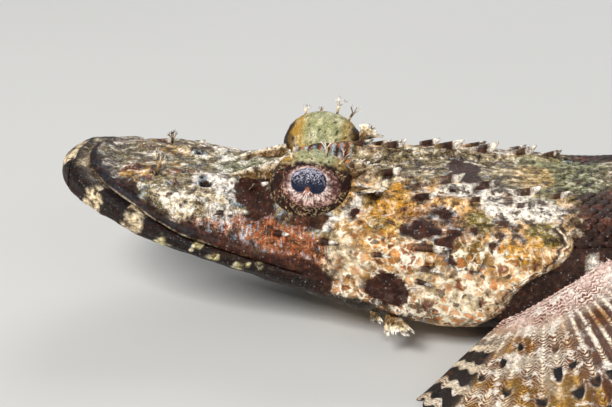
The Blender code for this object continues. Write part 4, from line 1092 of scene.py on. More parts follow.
def eye_pattern(side, polar, turn):
    """The eye's colours and relief at angles round its outward pole."""
    a = EYE_LONG * np.sin(polar) * np.cos(turn)
    b = EYE_TALL * np.sin(polar) * np.sin(turn)
    front = polar < math.pi / 2
    spot = np.stack((a, b, side * 40 + 10 * np.cos(polar)), axis=-1)
    fine = lumps(spot, 0.5, 1)
    middle = lumps(spot, 1.1, 2)
    broad = lumps(spot, 3.0, 3)
    # The outer ring: chocolate, with cream scribbles, most of them below.
    ground = np.broadcast_to(tint(34, 15, 11), a.shape + (3,)).copy()
    tinge(ground, tint(106, 50, 32), 0.55 * smooth_step(middle + 0.5 * broad, 0.1, 0.4))
    relief = 0.22 * middle + 0.15 * broad
    scribble = np.abs(lumps(spot, 1.7, 4) + 0.35 * lumps(spot, 0.7, 5))
    line = (1 - smooth_step(scribble, 0.03, 0.09)) * smooth_step(broad - 0.03 * b, -0.2, 0.15)
    tinge(ground, tint(214, 190, 146), 0.8 * line)
    # The iris: pink and white with brown hair lines, parted by a dark cleft at each side.
    out = np.hypot(a / 10.2, (b + 0.6) / 7.3) + 0.09 * broad + 0.05 * middle
    iris = (1 - smooth_step(out, 0.90, 1.02)) * front
    iris_colour = mixed(IRIS_PINK, tint(150, 92, 72), 0.6 * smooth_step(out, 0.6, 0.95))
    hairs = lumps(np.stack((np.arctan2(b, a) * 11, np.hypot(a, b) * 0.7, 0 * a + side), axis=-1), 1.0, 8)
    hair_share = smooth_step(hairs + 0.7 * fine + 0.6 * middle, -0.2, 0.0)
    tinge(iris_colour, tint(82, 42, 34), 0.93 * hair_share)
    # The pupil's own place: pa along and pb up from its middle.
    pa, pb = a + PUPIL_BACK, b - PUPIL_UP
    pale_rim = hump(np.hypot(pa / 6.9, (b - 0.2) / 5.2) + 0.06 * middle - 1, 0.10)
    tinge(iris_colour, tint(236, 218, 210), 0.45 * pale_rim)
    tinge(ground, iris_colour, iris)
    relief = relief * (1 - iris) + iris * (0.14 * fine + 0.1)
    cleft = hump(b - 0.6 + 0.5 * broad, 1.5) * smooth_step(np.abs(pa), 5.8, 6.8) * iris
    tinge(ground, tint(66, 32, 24), 0.85 * cleft)
    # The pupil: two dark lobes below, and above them a lappet of dense pale specks.
    lobes = np.hypot(np.abs(pa) - 2.9, pb + 0.9) / 3.25
    body = np.where(pb > -1.2, np.hypot(pa / 6.1, (pb - 0.3) / 4.3), 9)
    pupil = (1 - smooth_step(np.minimum(lobes, body), 0.96, 1.02)) * front
    tinge(ground, PUPIL_BLUE, pupil)
    notch = hump(pa, 0.7) * (1 - smooth_step(pb, -2.6, -1.9)) * smooth_step(pb, -4.6, -3.4)
    tinge(ground, tint(170, 104, 60), notch * front * 0.8)
    relief = relief * (1 - pupil) - 0.15 * pupil
    hang = pb + 0.8 + 1.0 * lumps(np.stack((pa * 1.3, pb * 0.4, 0 * pa), axis=-1), 1.0, side)
    lappet = pupil * smooth_step(hang, -0.6, 0.8)
    crowd = 0.30 - 0.42 * smooth_step(pb, -1.0, 4.2)
    speck = smooth_step(lumps(spot, 0.36, 9) + 0.35 * middle, crowd - 0.05, crowd + 0.08)
    tinge(ground, mixed(PUPIL_BLUE, tint(176, 172, 188), speck), 0.95 * lappet)
    relief += lappet * (0.3 + 0.25 * fine)
    # The cap of skin: olive and green-grey, browner at its ends, with dark dots.
    rise = b - (7.6 - 0.016 * a * a) + 1.1 * broad + 0.9 * middle
    top = np.sin(turn) > -0.1
    cap = np.where(front, smooth_step(rise, -0.3, 0.5), 1.0) * top
    gold = smooth_step(np.abs(a) + broad, 4.5, 10.0)
    gold = np.maximum(gold, np.where(front, 0, smooth_step(-b + broad, -9.5, -6.0)))
    cap_colour = mixed(EYE_CAP_GREEN, EYE_CAP_GOLD, gold)
    tinge(cap_colour, tint(206, 196, 158), 0.6 * smooth_step(broad + 0.5 * middle, 0.0, 0.3))
    brown = smooth_step(a + 2 * broad, 9.0, 11.5) + smooth_step(-a + 2 * broad, 10.0, 12.5)
    tinge(cap_colour, tint(44, 26, 18), np.clip(brown, 0, 1))
    cap_colour *= (1 + 0.3 * broad + 0.3 * middle + 0.25 * fine)[..., None]
    tinge(cap_colour, tint(70, 46, 34), 0.6 * hump(rise - 0.2, 0.8) * front)
    tinge(cap_colour, tint(44, 32, 22), 0.85 * smooth_step(lumps(spot, 1.3, 6), 0.40, 0.48))
    tinge(ground, cap_colour, cap)
    relief = relief * (1 - cap) + cap * (0.35 + 0.15 * broad + 0.12 * middle)
    # Under the cap's inner side the eye's root has upright orange and blue-grey stripes.
    stripes = smooth_step(np.sin(a * 2.2 + 2 * broad), -0.2, 0.3)
    tinge(ground, mixed(tint(150, 78, 36), tint(130, 148, 160), stripes), (~front & ~top) * 1.0)
    return np.clip(ground, 0, 1), relief, np.clip(iris + pupil - cap, 0, 1)


def tube_faces(count, around):
    """Faces of a closed tube of rings, each of so many points around."""
    faces = []
    for start in range(0, (count - 1) * around, around):
        for j in range(around):
            a, b = start + j, start + (j + 1) % around
            faces.append([a, b, b + around, a + around])
    return faces + [list(range(around)), list(range((count - 1) * around, count * around))]


eye_skin, tree, shader = new_material("wet_eye")
ground = attribute(tree, "ground")
dust = clouds(millimetres(tree), 1.8, 4.0, 0.7)
colour = vector("SCALE", ground["Color"], Scale=ranged(dust, 0.35, 0.65, 0.5, 1.4))
rough = ranged(ground["Alpha"], 0.0, 1.0, 0.62, 0.28)
dress(
    shader, colour, dust, 0.4, 0.0004,
    Roughness=rough, Specular_IOR_Level=0.25, Coat_Weight=0.15, Coat_Roughness=0.08,
)

for word, side in (("left", -1.0), ("right", 1.0)):
    around = np.arange(EYE_AROUND) * 2 * math.pi / EYE_AROUND
    polar, turn = np.meshgrid(EYE_RINGS, around, indexing="ij")
    ground, relief, wet = eye_pattern(side, polar, turn)
    globe = globe_point(side, polar, turn, relief - 0.25)
    eye, straight = new_piece("eye_globe_" + word, globe, tube_faces(len(EYE_RINGS), EYE_AROUND), eye_skin)
    colour_piece(eye, np.concatenate((ground, wet[..., None]), axis=-1).reshape(-1, 4))
    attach(eye, "root")
    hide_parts("eye_" + word)

# The spines: backward-pointing teeth of the head's bony ridges, thinly skinned, dark in front and
# white at their free points.
# Spines: place along, place from the midline (or height, on the cheek), length and height.
TOP_SPINES = (
    (-168.5, 15.5, 6.0, 2.2),
    (-136.0, 11.5, 7.0, 3.0),
    (-124.0, 13.5, 8.0, 3.6),
    (-104.0, 16.5, 9.5, 4.2),
    (-91.0, 18.0, 9.5, 4.2),
    (-76.0, 19.5, 9.0, 3.8),
    (-65.0, 20.3, 7.0, 3.0),
    (-129.0, 24.5, 6.5, 2.6),
    (-111.0, 26.3, 7.0, 2.8),
    (-94.0, 26.6, 7.0, 2.8),
    (-78.0, 27.4, 6.5, 2.4),
    (-198.0, 25.5, 6.0, 2.0),
    (-180.0, 29.3, 8.0, 2.6),
    (-158.0, 35.0, 6.0, 2.2),
    (-142.0, 38.5, 7.0, 2.6),
    (-124.0, 43.0, 7.5, 2.8),
)
CHEEK_SPINES = (
    (-108.0, 33.0, 13.0, 3.6),
    (-108.0, 27.5, 8.0, 2.6),
    (-109.0, 22.5, 5.5, 2.0),
)
SPINE_RINGS = 8
SPINE_AROUND = 8


def ring_round(middle, first, second, count):
    """Points round an ellipse that has the first and the second direction as half axes."""
    turns = (np.arange(count) * 2 * math.pi / count)[:, None]
    return middle + first * np.cos(turns) + second * np.sin(turns)


def spine(side, x, t, length, height):
    """A curved blade: points, faces, and how near each point is to the tip."""
    at = flesh(x, t, side)
    normal = flesh_normal(x, t, side)
    back = np.array((1.0, 0.0, 0.0))
    across = np.cross(normal, back)
    across /= np.linalg.norm(across)
    breadth = 0.15 * length + 0.4
    steps = np.linspace(0, 1, SPINE_RINGS)
    rings = []
    for s in steps:
        top = height * (0.15 + 0.85 * s ** 0.9)
        under = -1.8 + (height * 0.86 + 1.8) * s ** 5
        middle = at + back * length * (-0.62 + 1.14 * s) + normal * (top + under) / 2
        deep = (top - under) / 2 + 0.05
        wide = breadth * (1 - s) ** 0.6 * (0.35 + 0.65 * min(1, s * 4)) + 0.12
        rings.append(ring_round(middle, normal * deep, across * wide, SPINE_AROUND))
    shares = np.repeat(steps, SPINE_AROUND)
    return np.concatenate(rings), tube_faces(SPINE_RINGS, SPINE_AROUND), shares


def join_shapes(shapes):
    """Puts separate shapes into one list of points, of faces and of shares."""
    points, faces, shares = [], [], []
    for shape_points, shape_faces, shape_shares in shapes:
        start = sum(len(p) for p in points)
        points.append(shape_points)
        faces += [[start + i for i in face] for face in shape_faces]
        shares.append(shape_shares)
    return np.concatenate(points), faces, np.concatenate(shares)


shapes = []
for side in (-1.0, 1.0):
    shapes += [spine(side, x, float(turn_across(x, y)), long, high) for x, y, long, high in TOP_SPINES]
    shapes += [spine(side, x, float(turn_up(x, z)), long, high) for x, z, long, high in CHEEK_SPINES]
points, faces, share = join_shapes(shapes)
spines, straight = new_piece("head_spines", points, faces, skin)
ground, marks = paint(straight)
tinge(ground[:, :3], CHOCOLATE, 0.95 * smooth_step(share, 0.05, 0.2))
tinge(ground[:, :3], WHITE, smooth_step(share, 0.62, 0.72))
ground[:, 3] = 0.5
colour_piece(spines, ground, marks * (1 - smooth_step(share, 0.0, 0.2))[:, None])
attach(spines, "root")

# The skin flaps: soft branched tentacles before and behind each eye, on the nostril, on top of each
# eye and under the cheek, flat and thin, brown at the root and white at their frayed tips.
draw = random.Random(7)
FLAP_OLIVE = tint(118, 84, 38)
STRAND_RINGS = 5
STRAND_AROUND = 6
FROND_COLUMNS = 49
FROND_ROWS = 11


def branch(shapes, root, direction, across, length, width, level, share=0.0, forks=3):
    """Grows a flat bending strand that splits into narrower ones until its last level."""
    direction = direction / np.linalg.norm(direction)
    across = across - direction * (across @ direction)
    across = across / np.linalg.norm(across)
    thick = np.cross(direction, across)
    bend = draw.uniform(-0.25, 0.25)
    rings, shares = [], []
    end = share + (1 - share) * (0.5 if level else 1.0)
    for s in np.linspace(0, 1, STRAND_RINGS):
        middle = root + direction * length * s + across * (length * bend * s * s)
        wide = width * ((1 - s) * 0.85 + 0.3 if not level else 0.75 + 0.35 * s)
        deep = 0.28 * width * (1 - 0.45 * s) + 0.08
        rings.append(ring_round(middle, across * wide / 2, thick * deep / 2, STRAND_AROUND))
        shares.append(np.full(STRAND_AROUND, share + (end - share) * s))
    faces = tube_faces(STRAND_RINGS, STRAND_AROUND)
    shapes.append((np.concatenate(rings), faces, np.concatenate(shares)))
    if level:
        tip = root + direction * length * 0.93 + across * (length * bend * 0.86)
        ahead = direction + across * bend * 1.6
        for k in range(forks):
            spread = (k - (forks - 1) / 2) / max(forks - 1, 1)
            heading = ahead + across * (spread * 1.5 + draw.uniform(-0.15, 0.15))
            start = tip + across * spread * width * 0.55
            long = length * draw.uniform(0.45, 0.7)
            branch(shapes, start, heading, across, long, width * 0.45, level - 1, end, forks)


def frond(corners, fray, seed, bulge, thick=0.55):
    """A thin leaf between four corners, its far edge cut into fringed lobes."""
    u, v = np.meshgrid(np.linspace(0, 1, FROND_COLUMNS), np.linspace(0, 1, FROND_ROWS), indexing="ij")
    wave = np.stack((u * 9, 0 * u, 0 * u + seed), axis=-1)
    cut = np.abs(lumps(wave, 1.0, seed)) + 0.6 * np.abs(lumps(wave * 2.7, 1.0, seed + 1))
    far = v * (1 - fray * np.clip(1 - 1.6 * cut, 0, 1))
    root_a, root_b, tip_a, tip_b = (np.array(corner, float) for corner in corners)
    near = root_a + (root_b - root_a) * u[..., None]
    away = tip_a + (tip_b - tip_a) * u[..., None]
    face = np.cross(root_b - root_a, (tip_a + tip_b - root_a - root_b) / 2)
    face /= np.linalg.norm(face)
    middle = near + (away - near) * far[..., None]
    ripple = 0.5 * lumps(np.stack((u * 4, v * 3, 0 * u), axis=-1), 1.0, seed + 2)
    middle = middle + face * (bulge * np.sin(np.pi * u) * v + ripple * v)[..., None]
    deep = face * (thick * (1 - 0.6 * v) + 0.16 * np.cos(u * 70))[..., None]
    sides = np.stack((middle - deep / 2, middle + deep / 2))
    return sides.reshape(-1, 3), sheet_faces(FROND_COLUMNS, FROND_ROWS), np.tile(v.ravel(), 2)


# Tufts: places along and from the midline, length, width, heading (back, out, up), and forks.
SKIN_TUFTS = (
    (-206.0, 15.0, 5.4, 2.4, (0.25, 0.15, 1.0), 4),
    (-137.5, 19.0, 6.0, 5.4, (0.5, 0.35, 0.85), 5),
    (-136.0, 24.0, 6.4, 5.6, (0.6, 0.75, 0.25), 5),
    (-172.0, 17.0, 2.2, 1.0, (0.3, 0.4, 0.9), 3),
)
# Papillae on the eye's cap: the turn round the eye, and the height.
EYE_PAPILLAE = ((2.3, 2.6), (1.75, 1.6), (1.25, 4.2), (0.8, 4.0))
shapes = []
for side in (-1.0, 1.0):
    for x, y, long, wide, heading, forks in SKIN_TUFTS:
        t = float(turn_across(x, y))
        long, wide = (long, wide) if side < 0 else (0.7 * long, 0.6 * wide)
        direction = np.array((heading[0], side * heading[1], heading[2]))
        across = np.cross(direction, flesh_normal(x, t, side))
        branch(shapes, flesh(x, t, side) - direction * 0.8, direction, across, long, wide, 2, 0.0, forks)
    for turn, tall in EYE_PAPILLAE:
        root = globe_point(side, np.array(0.98), np.array(turn), np.array(-0.5))
        away = root - eye_frame(side)[0]
        upward = away / np.linalg.norm(away) * 0.45 + np.array((0.0, 0.0, 0.9))
        branch(shapes, root, upward, np.array((1.0, 0.0, 0.0)), tall, 1.0, 2, 0.55, 3)
    # The broad flap before the eye is highest at its rear. The left one stands, the right one lies over.
    front = flesh(-182.0, turn_across(-182.0, 8.5), side) - (0, 0, 0.8)
    rear = flesh(-164.0, turn_across(-164.0, 12.5), side) - (0, 0, 0.8)
    lean = np.array((5.5, 0.0, 12.0)) if side < 0 else np.array((3.0, 6.5, 4.0))
    shapes.append(frond((front, rear, front + (1.0, side * 0.6, 2.2), rear + lean), 0.22, 3, 0.8))
    branch(shapes, rear + lean * 0.9, lean * (1, 1, 0.8), np.array((1.0, 0.0, -0.4)), 2.6, 1.5, 1, 0.7, 4)
    # The tassel under the cheek is a fan with a smaller one before it.
    for x, z, long, wide in ((-118.0, 6.5, 10.0, 11.0), (-124.5, 6.0, 6.0, 4.4)):
        t = float(turn_up(x, z))
        root = flesh(x, t, side) - flesh_normal(x, t, side) * 0.6
        out = np.array((0.35, side * 0.95, -0.28)) * long
        spread = np.array((wide / 2, side * 0.1 * wide, 0.18 * wide))
        narrow = np.array((0.18 * wide, 0, 0))
        tip = root + out
        shapes.append(frond((root - narrow, root + narrow, tip - spread, tip + spread), 0.4, 5, 0.6))
points, faces, share = join_shapes(shapes)
flaps, straight = new_piece("skin_flaps", points, faces, skin)
ground = mixed(FLAP_OLIVE, CREAM, smooth_step(share, 0.45, 0.7))
tinge(ground, WHITE, smooth_step(share, 0.7, 0.9))
colour_piece(flaps, np.column_stack((ground, np.full(len(ground), 0.5))), np.zeros((len(straight), 4)))
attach(flaps, "root")

# The scales of the nape, body and tail: small rough plates in the skin, each overlapping the next
# behind it, with one row of ridged tube scales along each side. They carry the skin's own colours.
SCALE_PITCH = 4.8
SCALE_ROWS = np.arange(-74.0, 232.0, 0.5 * SCALE_PITCH)
SCALE_LONG = 1.5
SCALE_BROAD = 1.16
SCALE_TILT = math.radians(7.0)
SKIN_LENGTH = 500.0
PATCH = 0.003


def lens_faces(rows, columns):
    """Faces of a closed shape: a grid on top, and one face under its rim."""
    return grid_faces(rows, columns).tolist() + [rim_of(rows, columns)]


def scale_plate():
    """One scale of unit size: a fan with a rounded, toothed rear edge, thin and a little domed."""
    u, v = np.meshgrid(np.linspace(0, 1, 4), np.linspace(-1, 1, 6), indexing="ij")
    reach = 0.5 * np.sqrt(np.clip(1 - 0.72 * v ** 2, 0, 1)) * (1 + 0.05 * np.cos(v * 9.4))
    x = -0.5 + u * (0.5 + reach)
    y = 0.5 * v * (0.72 + 0.28 * np.sin(np.pi * np.clip(u * 0.8 + 0.1, 0, 1)))
    z = 0.12 * (1 - v ** 2) * np.sin(np.pi * u) ** 0.5 + 0.03 * u
    return np.stack((x, y, z), axis=-1).reshape(-1, 3), lens_faces(4, 6), u.ravel()


def tube_plate():
    """One scale of the side line: a ridge along a small plate, higher at its rear."""
    u, turn = np.meshgrid(np.linspace(0, 1, 4), np.linspace(0, 1, 7), indexing="ij")
    y = 0.5 * np.cos(turn * math.pi) * (1 - 0.35 * u)
    z = 0.34 * np.sin(turn * math.pi) ** 2 * (0.45 + 0.55 * u)
    return np.stack((u - 0.5, y, z), axis=-1).reshape(-1, 3), lens_faces(4, 7), u.ravel()


def shape_object(name, points, faces, rim):
    """A small shape to repeat, with how near each of its points is to the free edge."""
    mesh = closed_mesh(name, points, faces)
    kept = {"rim": smooth_step(rim, 0.55, 1.0), "local_x": points[:, 0], "local_y": points[:, 1]}
    for key, values in kept.items():
        mesh.attributes.new(key, "FLOAT", "POINT").data.foreach_set("value", values)
    return in_scene(name, mesh)


def repeat_tree(name):
    """Sets a shape at each point of a mesh, turned to the point's directions and sized by it."""
    tree = bpy.data.node_groups.new(name, "GeometryNodeTree")
    tree.interface.new_socket("Geometry", in_out="INPUT", socket_type="NodeSocketGeometry")
    sockets = {}
    for key, kind in (("Shape", "Object"), ("Skin", "Material"), ("Size", "Float")):
        made = tree.interface.new_socket(key, in_out="INPUT", socket_type="NodeSocket" + kind)
        sockets[key] = made.identifier
    tree.interface.new_socket("Geometry", in_out="OUTPUT", socket_type="NodeSocketGeometry")
    given = put(tree, "NodeGroupInput").outputs
    read = {}
    for key in ("upward", "backward", "size"):
        node = put(tree, "GeometryNodeInputNamedAttribute", set_data_type="FLOAT_VECTOR", Name=key)
        read[key] = node.outputs[0]
    shape = put(tree, "GeometryNodeObjectInfo", Object=given["Shape"]).outputs["Geometry"]
    dots = put(tree, "GeometryNodeMeshToPoints", Mesh=given["Geometry"]).outputs[0]
    faced = put(tree, "FunctionNodeAlignRotationToVector", set_axis="Z", Vector=read["upward"]).outputs[0]
    faced = put(
        tree, "FunctionNodeAlignRotationToVector", set_axis="X", set_pivot_axis="Z",
        Rotation=faced, Vector=read["backward"],
    ).outputs[0]
    size = vector("SCALE", read["size"], Scale=given["Size"])
    placed = put(
        tree, "GeometryNodeInstanceOnPoints", Points=dots, Instance=shape, Rotation=faced, Scale=size
    ).outputs[0]
    real = put(tree, "GeometryNodeRealizeInstances", Geometry=placed).outputs[0]
    dressed = put(tree, "GeometryNodeSetMaterial", Geometry=real, Material=given["Skin"]).outputs[0]
    put(tree, "NodeGroupOutput", Geometry=dressed)
    return tree, sockets


def repeat(name, parts, shape):
    """A piece made of one shape repeated on points of the straight fish, posed with it."""
    straight, upward, backward, size, unwrap = (np.concatenate(values) for values in zip(*parts))
    place = posed(straight)
    up = posed(straight + upward * 0.5) - place
    back = posed(straight + backward * 0.5) - place
    host = bpy.data.meshes.new(name + "_roots")
    host.from_pydata((place * MM).tolist(), [], [])
    for key, values in (("upward", up), ("backward", back), ("size", size), ("unwrap", unwrap)):
        layer = host.attributes.new(key, "FLOAT_VECTOR", "POINT")
        layer.data.foreach_set("vector", np.ascontiguousarray(values).ravel())
    roots = in_scene(name + "_roots", host)
    colour_piece(roots, *paint(straight))
    modifier = roots.modifiers.new("repeat", "NODES")
    modifier.node_group, sockets = repeat_tree(name + "_tree")
    for key, value in (("Shape", shape), ("Skin", skin), ("Size", MM)):
        modifier[sockets[key]] = value
    bpy.context.view_layer.update()
    mesh = bpy.data.meshes.new_from_object(roots.evaluated_get(bpy.context.evaluated_depsgraph_get()))
    roots.modifiers.remove(modifier)
    bpy.data.objects.remove(roots)
    bpy.data.objects.remove(shape)
    mesh.name = name
    spots = stored(mesh.vertices, "co", 3)
    spots[:, 2] = np.maximum(spots[:, 2], 0.0)
    mesh.vertices.foreach_set("co", spots.ravel())
    # Each shape has its own small patch of the map that a bake uses.
    base = stored(mesh.attributes["unwrap"].data, "vector", 3)
    local = [stored(mesh.attributes[key].data, "value") for key in ("local_x", "local_y")]
    uv = base[:, :2] + PATCH * np.stack(local, axis=-1)
    corners = stored(mesh.loops, "vertex_index", kind=int)
    mesh.uv_layers.new(name="OFBake").data.foreach_set("uv", uv[corners].ravel())
    for key in ("upward", "backward", "size", "unwrap", "local_x", "local_y"):
        mesh.attributes.remove(mesh.attributes[key])
    mesh.update()
    return in_scene(name, mesh)


def on_skin(x, t, side):
    """Roots, outward and backward directions, and places on an unwrap of the skin, for scales."""
    root = flesh(x, t, side, fine=True)
    normal = flesh_normal(x, t, side)
    backward = np.tile((1.0, 0.0, 0.0), (len(x), 1))
    unwrap = np.stack(((x + 250) / SKIN_LENGTH, 0.25 * (1 + side) + 0.5 * t, 0 * x), axis=-1)
    return root, normal, backward, unwrap


row_turns = even_turns(SCALE_ROWS, np.zeros(len(SCALE_ROWS)), np.ones(len(SCALE_ROWS)), 81)
places, turns = [], []
for row, x in enumerate(SCALE_ROWS):
    half, back, widest, belly = (float(value) for value in section_shape(x)[:4])
    count = int(0.5 * math.pi * (half + (back - belly) / 2) / SCALE_PITCH)
    share = (np.arange(count) + 0.25 + 0.5 * (row % 2)) / (count + 0.5)
    places.append(np.full(count, x))
    turns.append(np.interp(share, np.linspace(0, 1, 81), row_turns[row]))
places, turns = np.concatenate(places), np.concatenate(turns)
parts = []
for side in (-1.0, 1.0):
    root, normal, backward, unwrap = on_skin(places, turns, side)
    kept = root[:, 0] > curve_through(root[:, 2], GILL_HEIGHTS, GILL_PLACES) + 2.5
    kept &= (root[:, 2] > 1.0) & ((root[:, 0] > -40) | (np.abs(root[:, 1]) < 20) | (root[:, 2] > 38))
    tilted = normal * math.cos(SCALE_TILT) - backward * math.sin(SCALE_TILT)
    grown = 0.82 + 0.18 * smooth_step(places, -74, -40) - 0.28 * smooth_step(places, 120, 232)
    grown = SCALE_PITCH * grown * (1 + 0.06 * lumps(root, 5.0, 71))
    size = np.stack((grown * SCALE_LONG, grown * SCALE_BROAD, grown), axis=-1)
    parts.append([values[kept] for values in (root - normal * 0.15, tilted, backward, size, unwrap)])
scales = repeat("body_scales", parts, shape_object("scale_shape", *scale_plate()))
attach(scales, "root")

places = np.arange(-58.0, 232.0, 5.2)
half, back, widest, belly = section_shape(places)[:4]
turns = turn_up(places, widest + (back - widest) * (0.62 - 0.5 * smooth_step(places, -58, 30)))
grown = 1 - 0.35 * smooth_step(places, 120, 232)
size = np.stack((5.0 * grown, 2.6 * grown, 3.0 * grown), axis=-1)
parts = []
for side in (-1.0, 1.0):
    root, normal, backward, unwrap = on_skin(places, turns, side)
    parts.append((root + normal * 0.2, normal, backward, size, unwrap))
side_line = repeat("side_line_scales", parts, shape_object("tube_shape", *tube_plate()))
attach(side_line, "root")

# The fins: thin skin on rows of bony rays, which stand out on both faces, split towards the edge and
# are jointed. They are cream and tan, with dark bars and spots.
ROOT_GAP = 0.3
DORSAL_1 = (-38.0, 62.0)
DORSAL_1_SPINES = 9
# The length of each spine of the first dorsal fin, as a share of the longest.
DORSAL_1_HEIGHT = (0.30, 0.86, 1.0, 0.97, 0.86, 0.72, 0.56, 0.38, 0.18)
DORSAL_1_TALL = 44.0
DORSAL_1_RAKE = math.radians(34.0)
DORSAL_2 = (80.0, 186.0)
ANAL = (84.0, 196.0)
SOFT_RAYS = 11
DORSAL_2_RAKE = math.radians(42.0)
DORSAL_2_HEIGHT = (0.0, 0.12, 0.35, 0.7, 1.0), (23.0, 31.0, 30.0, 23.0, 14.0)
CAUDAL_ROOT = 232.0
CAUDAL_RAYS = 14
CAUDAL_LONG = 72.0
CAUDAL_SPREAD = 29.0
CAUDAL_ROOT_HALF = 9.5
PECTORAL_RAYS = 20
FIN_SINK = 1.5
PECTORAL_ROOT_X = (-79.0, -50.0)
PECTORAL_ROOT_Z = (12.0, 35.0)
PECTORAL_SWEEP = (math.radians(-42.0), math.radians(62.0))
# Lengths and heights of these fins: shares of the way across the fin, and what they are there.
PECTORAL_LONG = (0.0, 0.2, 0.55, 0.85, 1.0), (45.0, 61.0, 71.0, 64.0, 54.0)
PECTORAL_MARGIN = (0.0, 0.35, 0.7, 1.0), (0.4, 0.4, 4.0, 12.0)
PELVIC_RAYS = 6
PELVIC_ROOT_X = (-30.0, -12.0)
PELVIC_ROOT_Y = (28.5, 21.0)
PELVIC_SWEEP = (math.radians(18.0), math.radians(66.0))
PELVIC_LONG = (0.0, 0.5, 1.0), (46.0, 72.0, 62.0)


def part_way(ends, u):
    return ends[0] + (ends[1] - ends[0]) * u


def back_fin(ends, u, v, tall, back, wave):
    """A fin that stands on the midline of the back."""
    x = part_way(ends, u)
    return np.stack((x + back, wave * v, flesh(x, 0.0, 1.0)[..., 2] + ROOT_GAP + tall * v), axis=-1)


def first_dorsal(u, v):
    tall = DORSAL_1_TALL * curve_through(u, np.linspace(0, 1, DORSAL_1_SPINES), DORSAL_1_HEIGHT)
    back = tall * v * (math.tan(DORSAL_1_RAKE) * (0.75 + 0.25 * v))
    return back_fin(DORSAL_1, u, v, tall, back, 0.8 * np.sin(u * 14.0))


def second_dorsal(u, v):
    tall = curve_through(u, *DORSAL_2_HEIGHT)
    back = tall * v * math.tan(DORSAL_2_RAKE) * (0.7 + 0.3 * v)
    return back_fin(DORSAL_2, u, v, tall, back, 1.0 * np.sin(u * 11.0 + 0.6))


def anal(u, v):
    """Folded back so that its margin just clears the floor."""
    x = part_way(ANAL, u)
    root = flesh(x, 1.0, 1.0)[..., 2] - ROOT_GAP
    drop = np.minimum(root - 1.2, 13.5) * (1 - 0.25 * u)
    back = 15.0 * v * (0.75 + 0.25 * v)
    wave = 1.2 * np.sin(u * 9.0) * v
    return np.stack((x + back, wave, root - drop * v), axis=-1)


def caudal(u, v):
    """The lowest ray runs down to the floor."""
    v = np.clip(v, 0, 1)
    across = 2 * u - 1
    long = CAUDAL_LONG * (1 - 0.16 * across**2 - 0.06 * np.abs(across))
    root = TAIL_MIDDLE + CAUDAL_ROOT_HALF * across
    spread = (CAUDAL_SPREAD - CAUDAL_ROOT_HALF) * across * np.sin(v * math.pi / 2) ** 0.9
    wave = 1.5 * np.sin(u * 8.0 + 1.0) * v
    return np.stack((CAUDAL_ROOT + ROOT_GAP + long * v, wave, root + spread), axis=-1)


def low_fin(side, root_x, root_turn, sweeps, longs, height):
    """A paired fin that spreads from its root on the body over the floor."""

    def middle(u, v):
        v = np.clip(v, 0, 1)
        x = part_way(root_x, u)
        t = root_turn(x, u)
        root = posed(flesh(x, t, side) - flesh_normal(x, t, side) * FIN_SINK)
        sweep = part_way(sweeps, u)
        reach = curve_through(u, *longs) * v
        px = root[..., 0] + reach * np.sin(sweep)
        py = root[..., 1] + side * reach * np.cos(sweep)
        return np.stack((px, py, height(root[..., 2], u, v)), axis=-1)

    return middle


def pectoral_turn(x, u):
    return turn_up(x, part_way(PECTORAL_ROOT_Z, u))


def pectoral_height(root_z, u, v):
    """Arched over the floor, waved towards its edge."""
    margin = curve_through(u, *PECTORAL_MARGIN)
    arch = 7.0 * np.sin(np.pi * v) * (0.35 + 0.65 * u)
    wave = 1.3 * np.sin(u * 26.0) * v * v
    return root_z * (1 - v) ** 1.6 + margin * (1 - (1 - v) ** 1.6) + arch + wave


def pelvic_turn(x, u):
    return turn_under(x, part_way(PELVIC_ROOT_Y, u))


def pelvic_height(root_z, u, v):
    return root_z * (1 - v) ** 2 + 0.5 * v + 2.6 * np.sin(np.pi * v)


def pectoral(side):
    return low_fin(side, PECTORAL_ROOT_X, pectoral_turn, PECTORAL_SWEEP, PECTORAL_LONG, pectoral_height)


def pelvic(side):
    return low_fin(side, PELVIC_ROOT_X, pelvic_turn, PELVIC_SWEEP, PELVIC_LONG, pelvic_height)


# Fine zigzag stripes cross the rays, and the skin is worn pale and brown in patches.
fin_skin, tree, shader = new_material("rayed_fin_skin")
plain = millimetres(tree)
ground = attribute(tree, "ground")
rays_map = put(tree, "ShaderNodeUVMap", set_uv_map="rays").outputs[0]
over_rays, along_rays, _ = put(tree, "ShaderNodeSeparateXYZ", i0=rays_map).outputs
worn = clouds(plain, 0.22, 4.0, 0.65)
grain = clouds(plain, 0.9, 5.0, 0.75)
zigzag = times(calc("PINGPONG", over_rays, 0.5), 0.9)
wave = plus(plus(times(along_rays, 84.0), zigzag), plus(times(worn, 4.0), times(grain, 0.5)))
stripe = calc("SINE", times(wave, 2 * math.pi))
light_ground = light_parts(ground["Color"], 0.02, 0.15)
stripe_share = times(light_ground, fade(clouds(plain, 0.11, 3.0), 0.36, 0.56), ground["Alpha"])
colour = over(times(fade(stripe, -0.2, 0.5), stripe_share), ground["Color"], tint(104, 54, 26))
colour = over(times(fade(worn, 0.52, 0.62), light_ground, 0.75), colour, tint(246, 236, 222))
colour = over(times(fade(worn, 0.44, 0.35), 0.6), colour, tint(104, 60, 18))
colour = vector("SCALE", colour, Scale=ranged(grain, 0.34, 0.66, 0.45, 1.45))
height = plus(times(stripe, 0.3, ground["Alpha"]), grain)
dress(shader, colour, height, 0.5, 0.0005, Roughness=0.55, Specular_IOR_Level=0.3, Coat_Weight=0.05)


